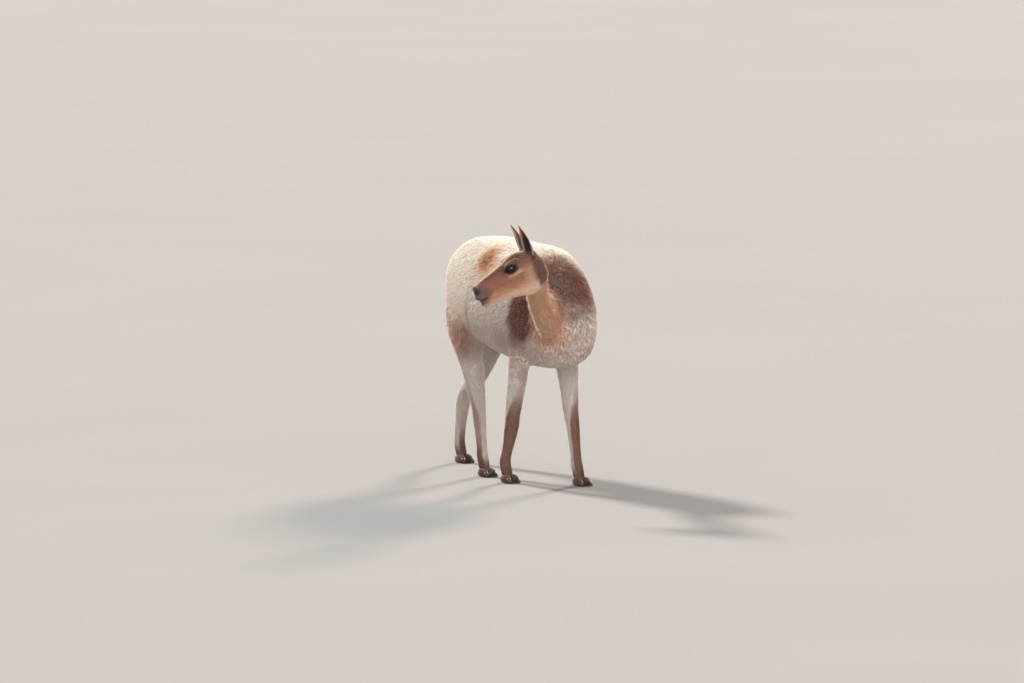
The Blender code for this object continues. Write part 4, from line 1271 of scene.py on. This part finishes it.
def build_skin():
    """The whole hide: fused forms sunk by the coat's depth, with ears, toes and lids, all one surface."""
    skin = build_forms()
    co, normal = mesh_points(skin.data)
    co -= normal * coat_at(co)[:, [0]]
    skin.data.vertices.foreach_set("co", co.ravel())
    skin.data.update()
    carve_face(skin)
    added = [build_ear(side) for side in (1, -1)] + build_toes()
    for side in (1, -1):
        added += [lid_roll(side, *roll) for roll in LID_ROLLS]
    combine(skin, added, "UNION")
    combine(skin, [ground_block()], "DIFFERENCE")
    skin.data.shade_smooth()
    return skin


def colour_skin(skin):
    """Writes the markings and the bare places on the skin's points."""
    co, normal = mesh_points(skin.data)
    bare = np.zeros(len(co))
    for side in (1, -1):
        shape, outside, own = eye_reach(co, side, LID_DARK)
        bare = np.maximum(bare, smooth(1.25, 0.85, shape) * outside * (np.abs(own[:, 1]) < 0.03))
        bare = np.maximum(bare, smooth(*NOSTRIL_DARK, nostril_reach(co, side)))
    # painted shade: the hide is its markings darkened by HIDE_SHADE
    write_colours(skin.data, over(markings(co, normal) * HIDE_SHADE, BARE_SKIN, bare))
    mask = skin.data.attributes.new("Bare", "FLOAT", "POINT")
    mask.data.foreach_set("value", bare.astype(np.float32))


def new_material(name, roughness):
    material = bpy.data.materials.new(name)
    material.use_nodes = True
    shader = material.node_tree.nodes["Principled BSDF"]
    shader.inputs["Roughness"].default_value = roughness
    return material, material.node_tree, shader


def add_node(tree, kind, plugs, **values):
    """A node with its sockets plugged in or set: the plugs are by name or number, the values by name."""
    node = tree.nodes.new("ShaderNode" + kind)
    for name, value in values.items():
        setattr(node, name, value)
    for name, value in plugs.items():
        if isinstance(value, bpy.types.NodeSocket):
            tree.links.new(value, node.inputs[name])
        else:
            node.inputs[name].default_value = value
    return node.outputs


def object_space(tree):
    return add_node(tree, "TexCoord", {})["Object"]


def stored(tree, name):
    """What is kept on the mesh under this name."""
    return add_node(tree, "Attribute", {}, attribute_name=name)


def noise(tree, vector, scale, detail=2.0):
    return add_node(tree, "TexNoise", {"Vector": vector, "Scale": scale, "Detail": detail})["Fac"]


def moved(tree, value, old, new=(0.0, 1.0)):
    """A value taken from one range to another, and held inside it."""
    ends = {"From Min": old[0], "From Max": old[1], "To Min": new[0], "To Max": new[1]}
    return add_node(tree, "MapRange", {"Value": value, **ends})["Result"]


def mixed(tree, factor, one, two):
    return add_node(tree, "Mix", {"Factor": factor, "A": one, "B": two}, data_type="RGBA")["Result"]


def between(tree, value, stops):
    """Colours that change with a value, from the first stop to the second."""
    colours = add_node(tree, "ValToRGB", {"Fac": value})["Color"]
    for element, (place, colour) in zip(colours.node.color_ramp.elements, stops):
        element.position = place
        element.color = (*colour, 1)
    return colours


def mottled(tree, scale, depth):
    """The markings, lightened and darkened a little by fine noise in the object's own space."""
    marks = stored(tree, "Coat")["Color"]
    fine = noise(tree, object_space(tree), scale, 3.0)
    level = moved(tree, fine, (0.3, 0.7), (1.0 - depth, 1.0 + depth))
    return add_node(tree, "VectorMath", {0: marks, "Scale": level}, operation="SCALE")["Vector"], fine


def add_bump(tree, shader, height, strength, distance):
    bump = add_node(tree, "Bump", {"Height": height, "Strength": strength, "Distance": distance})
    tree.links.new(bump["Normal"], shader.inputs["Normal"])


def coat_material(name, scale, sheen, spread):
    """Matt hair: the body's markings, mottled finely, with the soft sheen of wool."""
    material, tree, shader = new_material(name, 0.72)
    colour, height = mottled(tree, scale, 0.10)
    tree.links.new(colour, shader.inputs["Base Color"])
    shader.inputs["Specular IOR Level"].default_value = 0.10
    shader.inputs["Sheen Weight"].default_value = sheen
    shader.inputs["Sheen Roughness"].default_value = spread
    shader.inputs["Sheen Tint"].default_value = (1.0, 0.92, 0.80, 1.0)
    shader.inputs["Subsurface Weight"].default_value = 0.45
    shader.inputs["Subsurface Radius"].default_value = (1.0, 0.70, 0.48)
    shader.inputs["Subsurface Scale"].default_value = 0.010
    add_bump(tree, shader, height, 0.25, 0.0008)
    return material


def skin_material():
    """Hide under the coat, and the smooth dark skin of lids and nostrils."""
    material, tree, shader = new_material("hide", 0.8)
    colour, height = mottled(tree, 420.0, 0.14)
    tree.links.new(colour, shader.inputs["Base Color"])
    gloss = moved(tree, stored(tree, "Bare")["Fac"], (0.0, 1.0), (0.82, 0.42))
    tree.links.new(gloss, shader.inputs["Roughness"])
    add_bump(tree, shader, height, 0.5, 0.0012)
    return material


def eye_oval(tree, split, half_width, half_height):
    """0 inside an oval round the front of the eye and 1 outside."""
    x = add_node(tree, "Math", {0: split["X"], 1: half_width}, operation="DIVIDE")["Value"]
    z = add_node(tree, "Math", {0: split["Z"], 1: half_height}, operation="DIVIDE")["Value"]
    pair = add_node(tree, "CombineXYZ", {"X": x, "Z": z})["Vector"]
    return moved(tree, add_node(tree, "VectorMath", {0: pair}, operation="LENGTH")["Value"], (0.85, 1.05))


def eye_material():
    """A dark brown eye with a level, oblong pupil under a clear wet front."""
    material, tree, shader = new_material("eye_dark", 0.12)
    own = stored(tree, "Eye")["Vector"]
    split = add_node(tree, "SeparateXYZ", {"Vector": own})
    iris = mixed(tree, noise(tree, own, 9.0), (*IRIS, 1), (*IRIS_DARK, 1))
    colour = mixed(tree, eye_oval(tree, split, 0.40, 0.20), (*PUPIL, 1), iris)
    colour = mixed(tree, eye_oval(tree, split, 0.66, 0.66), colour, (*EYE_EDGE, 1))
    tree.links.new(colour, shader.inputs["Base Color"])
    shader.inputs["Specular IOR Level"].default_value = 0.22
    shader.inputs["Coat Weight"].default_value = 0.30
    shader.inputs["Coat Roughness"].default_value = 0.03
    return material


def nail_material():
    """Dark horn with fine paler streaks along its growth."""
    material, tree, shader = new_material("nail_horn", 0.52)
    drawn = add_node(tree, "Mapping", {"Vector": object_space(tree), "Scale": GRAIN_STRETCH})
    grain = noise(tree, drawn["Vector"], 2.0, 4.0)
    tree.links.new(between(tree, grain, ((0.30, HORN), (0.75, HORN_PALE))), shader.inputs["Base Color"])
    add_bump(tree, shader, grain, 0.3, 0.0004)
    return material


def floor_material():
    material, tree, shader = new_material("pale_floor", 0.9)
    drift = noise(tree, object_space(tree), 0.6)
    tree.links.new(between(tree, drift, ((0.0, FLOOR), (1.0, FLOOR_PALE))), shader.inputs["Base Color"])
    return material


def place_camera():
    """The photograph's view: from the animal's front right, a little above it and far off."""
    aside, rise = math.radians(CAMERA_ASIDE), math.radians(CAMERA_RISE)
    back = Vector((math.cos(aside) * math.cos(rise), -math.sin(aside) * math.cos(rise), math.sin(rise)))
    data = bpy.data.cameras.new("view")
    data.sensor_width = 36.0
    data.lens = CAMERA_LENS
    data.clip_end = 500.0
    camera = linked("view", data)
    camera.location = SHIFT + Vector((0, 0, CAMERA_AIM)) + back * CAMERA_DISTANCE
    camera.rotation_mode = "QUATERNION"
    camera.rotation_quaternion = (-back).to_track_quat("-Z", "Y")
    bpy.context.scene.camera = camera


def set_stage():
    """A wide pale floor, an even pale sky, warm light from behind and a weak broad light from in front."""
    mesh = bmesh.new()
    bmesh.ops.create_grid(mesh, x_segments=2, y_segments=2, size=FLOOR_REACH)
    floor = object_of(mesh, "floor")
    floor.data.materials.append(floor_material())
    world = bpy.data.worlds.new("sky")
    world.use_nodes = True
    sky = world.node_tree.nodes["Background"]
    sky.inputs["Color"].default_value = SKY_COLOUR
    sky.inputs["Strength"].default_value = SKY_STRENGTH
    bpy.context.scene.world = world
    bpy.context.scene.view_settings.view_transform = "Standard"
    for name, way, strength, breadth, colour in SUNS:
        data = bpy.data.lights.new(name, "SUN")
        data.energy = strength
        data.angle = math.radians(breadth)
        data.color = colour
        light = linked(name, data)
        light.rotation_mode = "QUATERNION"
        light.rotation_quaternion = Vector(way).to_track_quat("Z", "Y")


def finish_piece(obj, material, slot):
    """Puts a piece in its place, on the body that it rides, and gives it its finish."""
    obj.data.transform(Matrix.Translation(SHIFT))
    obj.data.materials.clear()
    obj.data.materials.append(material)
    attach(obj, "root")


def main():
    place_camera()
    set_stage()
    skin = build_skin()
    colour_skin(skin)
    coats = {
        "wool": coat_material("fleece_wool", 180.0, 0.40, 0.45),
        "neck_wool": coat_material("neck_hair", 260.0, 0.40, 0.30),
        "short_fur": coat_material("face_hair", 420.0, 0.25, 0.25),
        "leg_fur": coat_material("leg_hair", 320.0, 0.50, 0.30),
    }
    for obj, slot in grow_coat(skin):
        finish_piece(obj, coats[slot], slot)
    horn, wet = nail_material(), eye_material()
    sides = {1: "left", -1: "right"}
    for name, side, place in foot_places():
        nail = build_nail(place, f"{name}_{sides[side]}")
        finish_piece(nail, horn, "horn")
        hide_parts(f"nail_{name}_{sides[side]}")
    for side, word in sides.items():
        eye = build_eye(side)
        finish_piece(eye, wet, "eye")
        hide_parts(f"eye_{word}")
        finish_piece(build_lashes(side), coats["short_fur"], "short_fur")
    finish_piece(skin, skin_material(), "short_fur")
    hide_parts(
        "head", "neck", "torso", "tail", "ear_left", "ear_right", *("leg_" + name for name in LEGS)
    )


main()
bpy.context.view_layer.update()
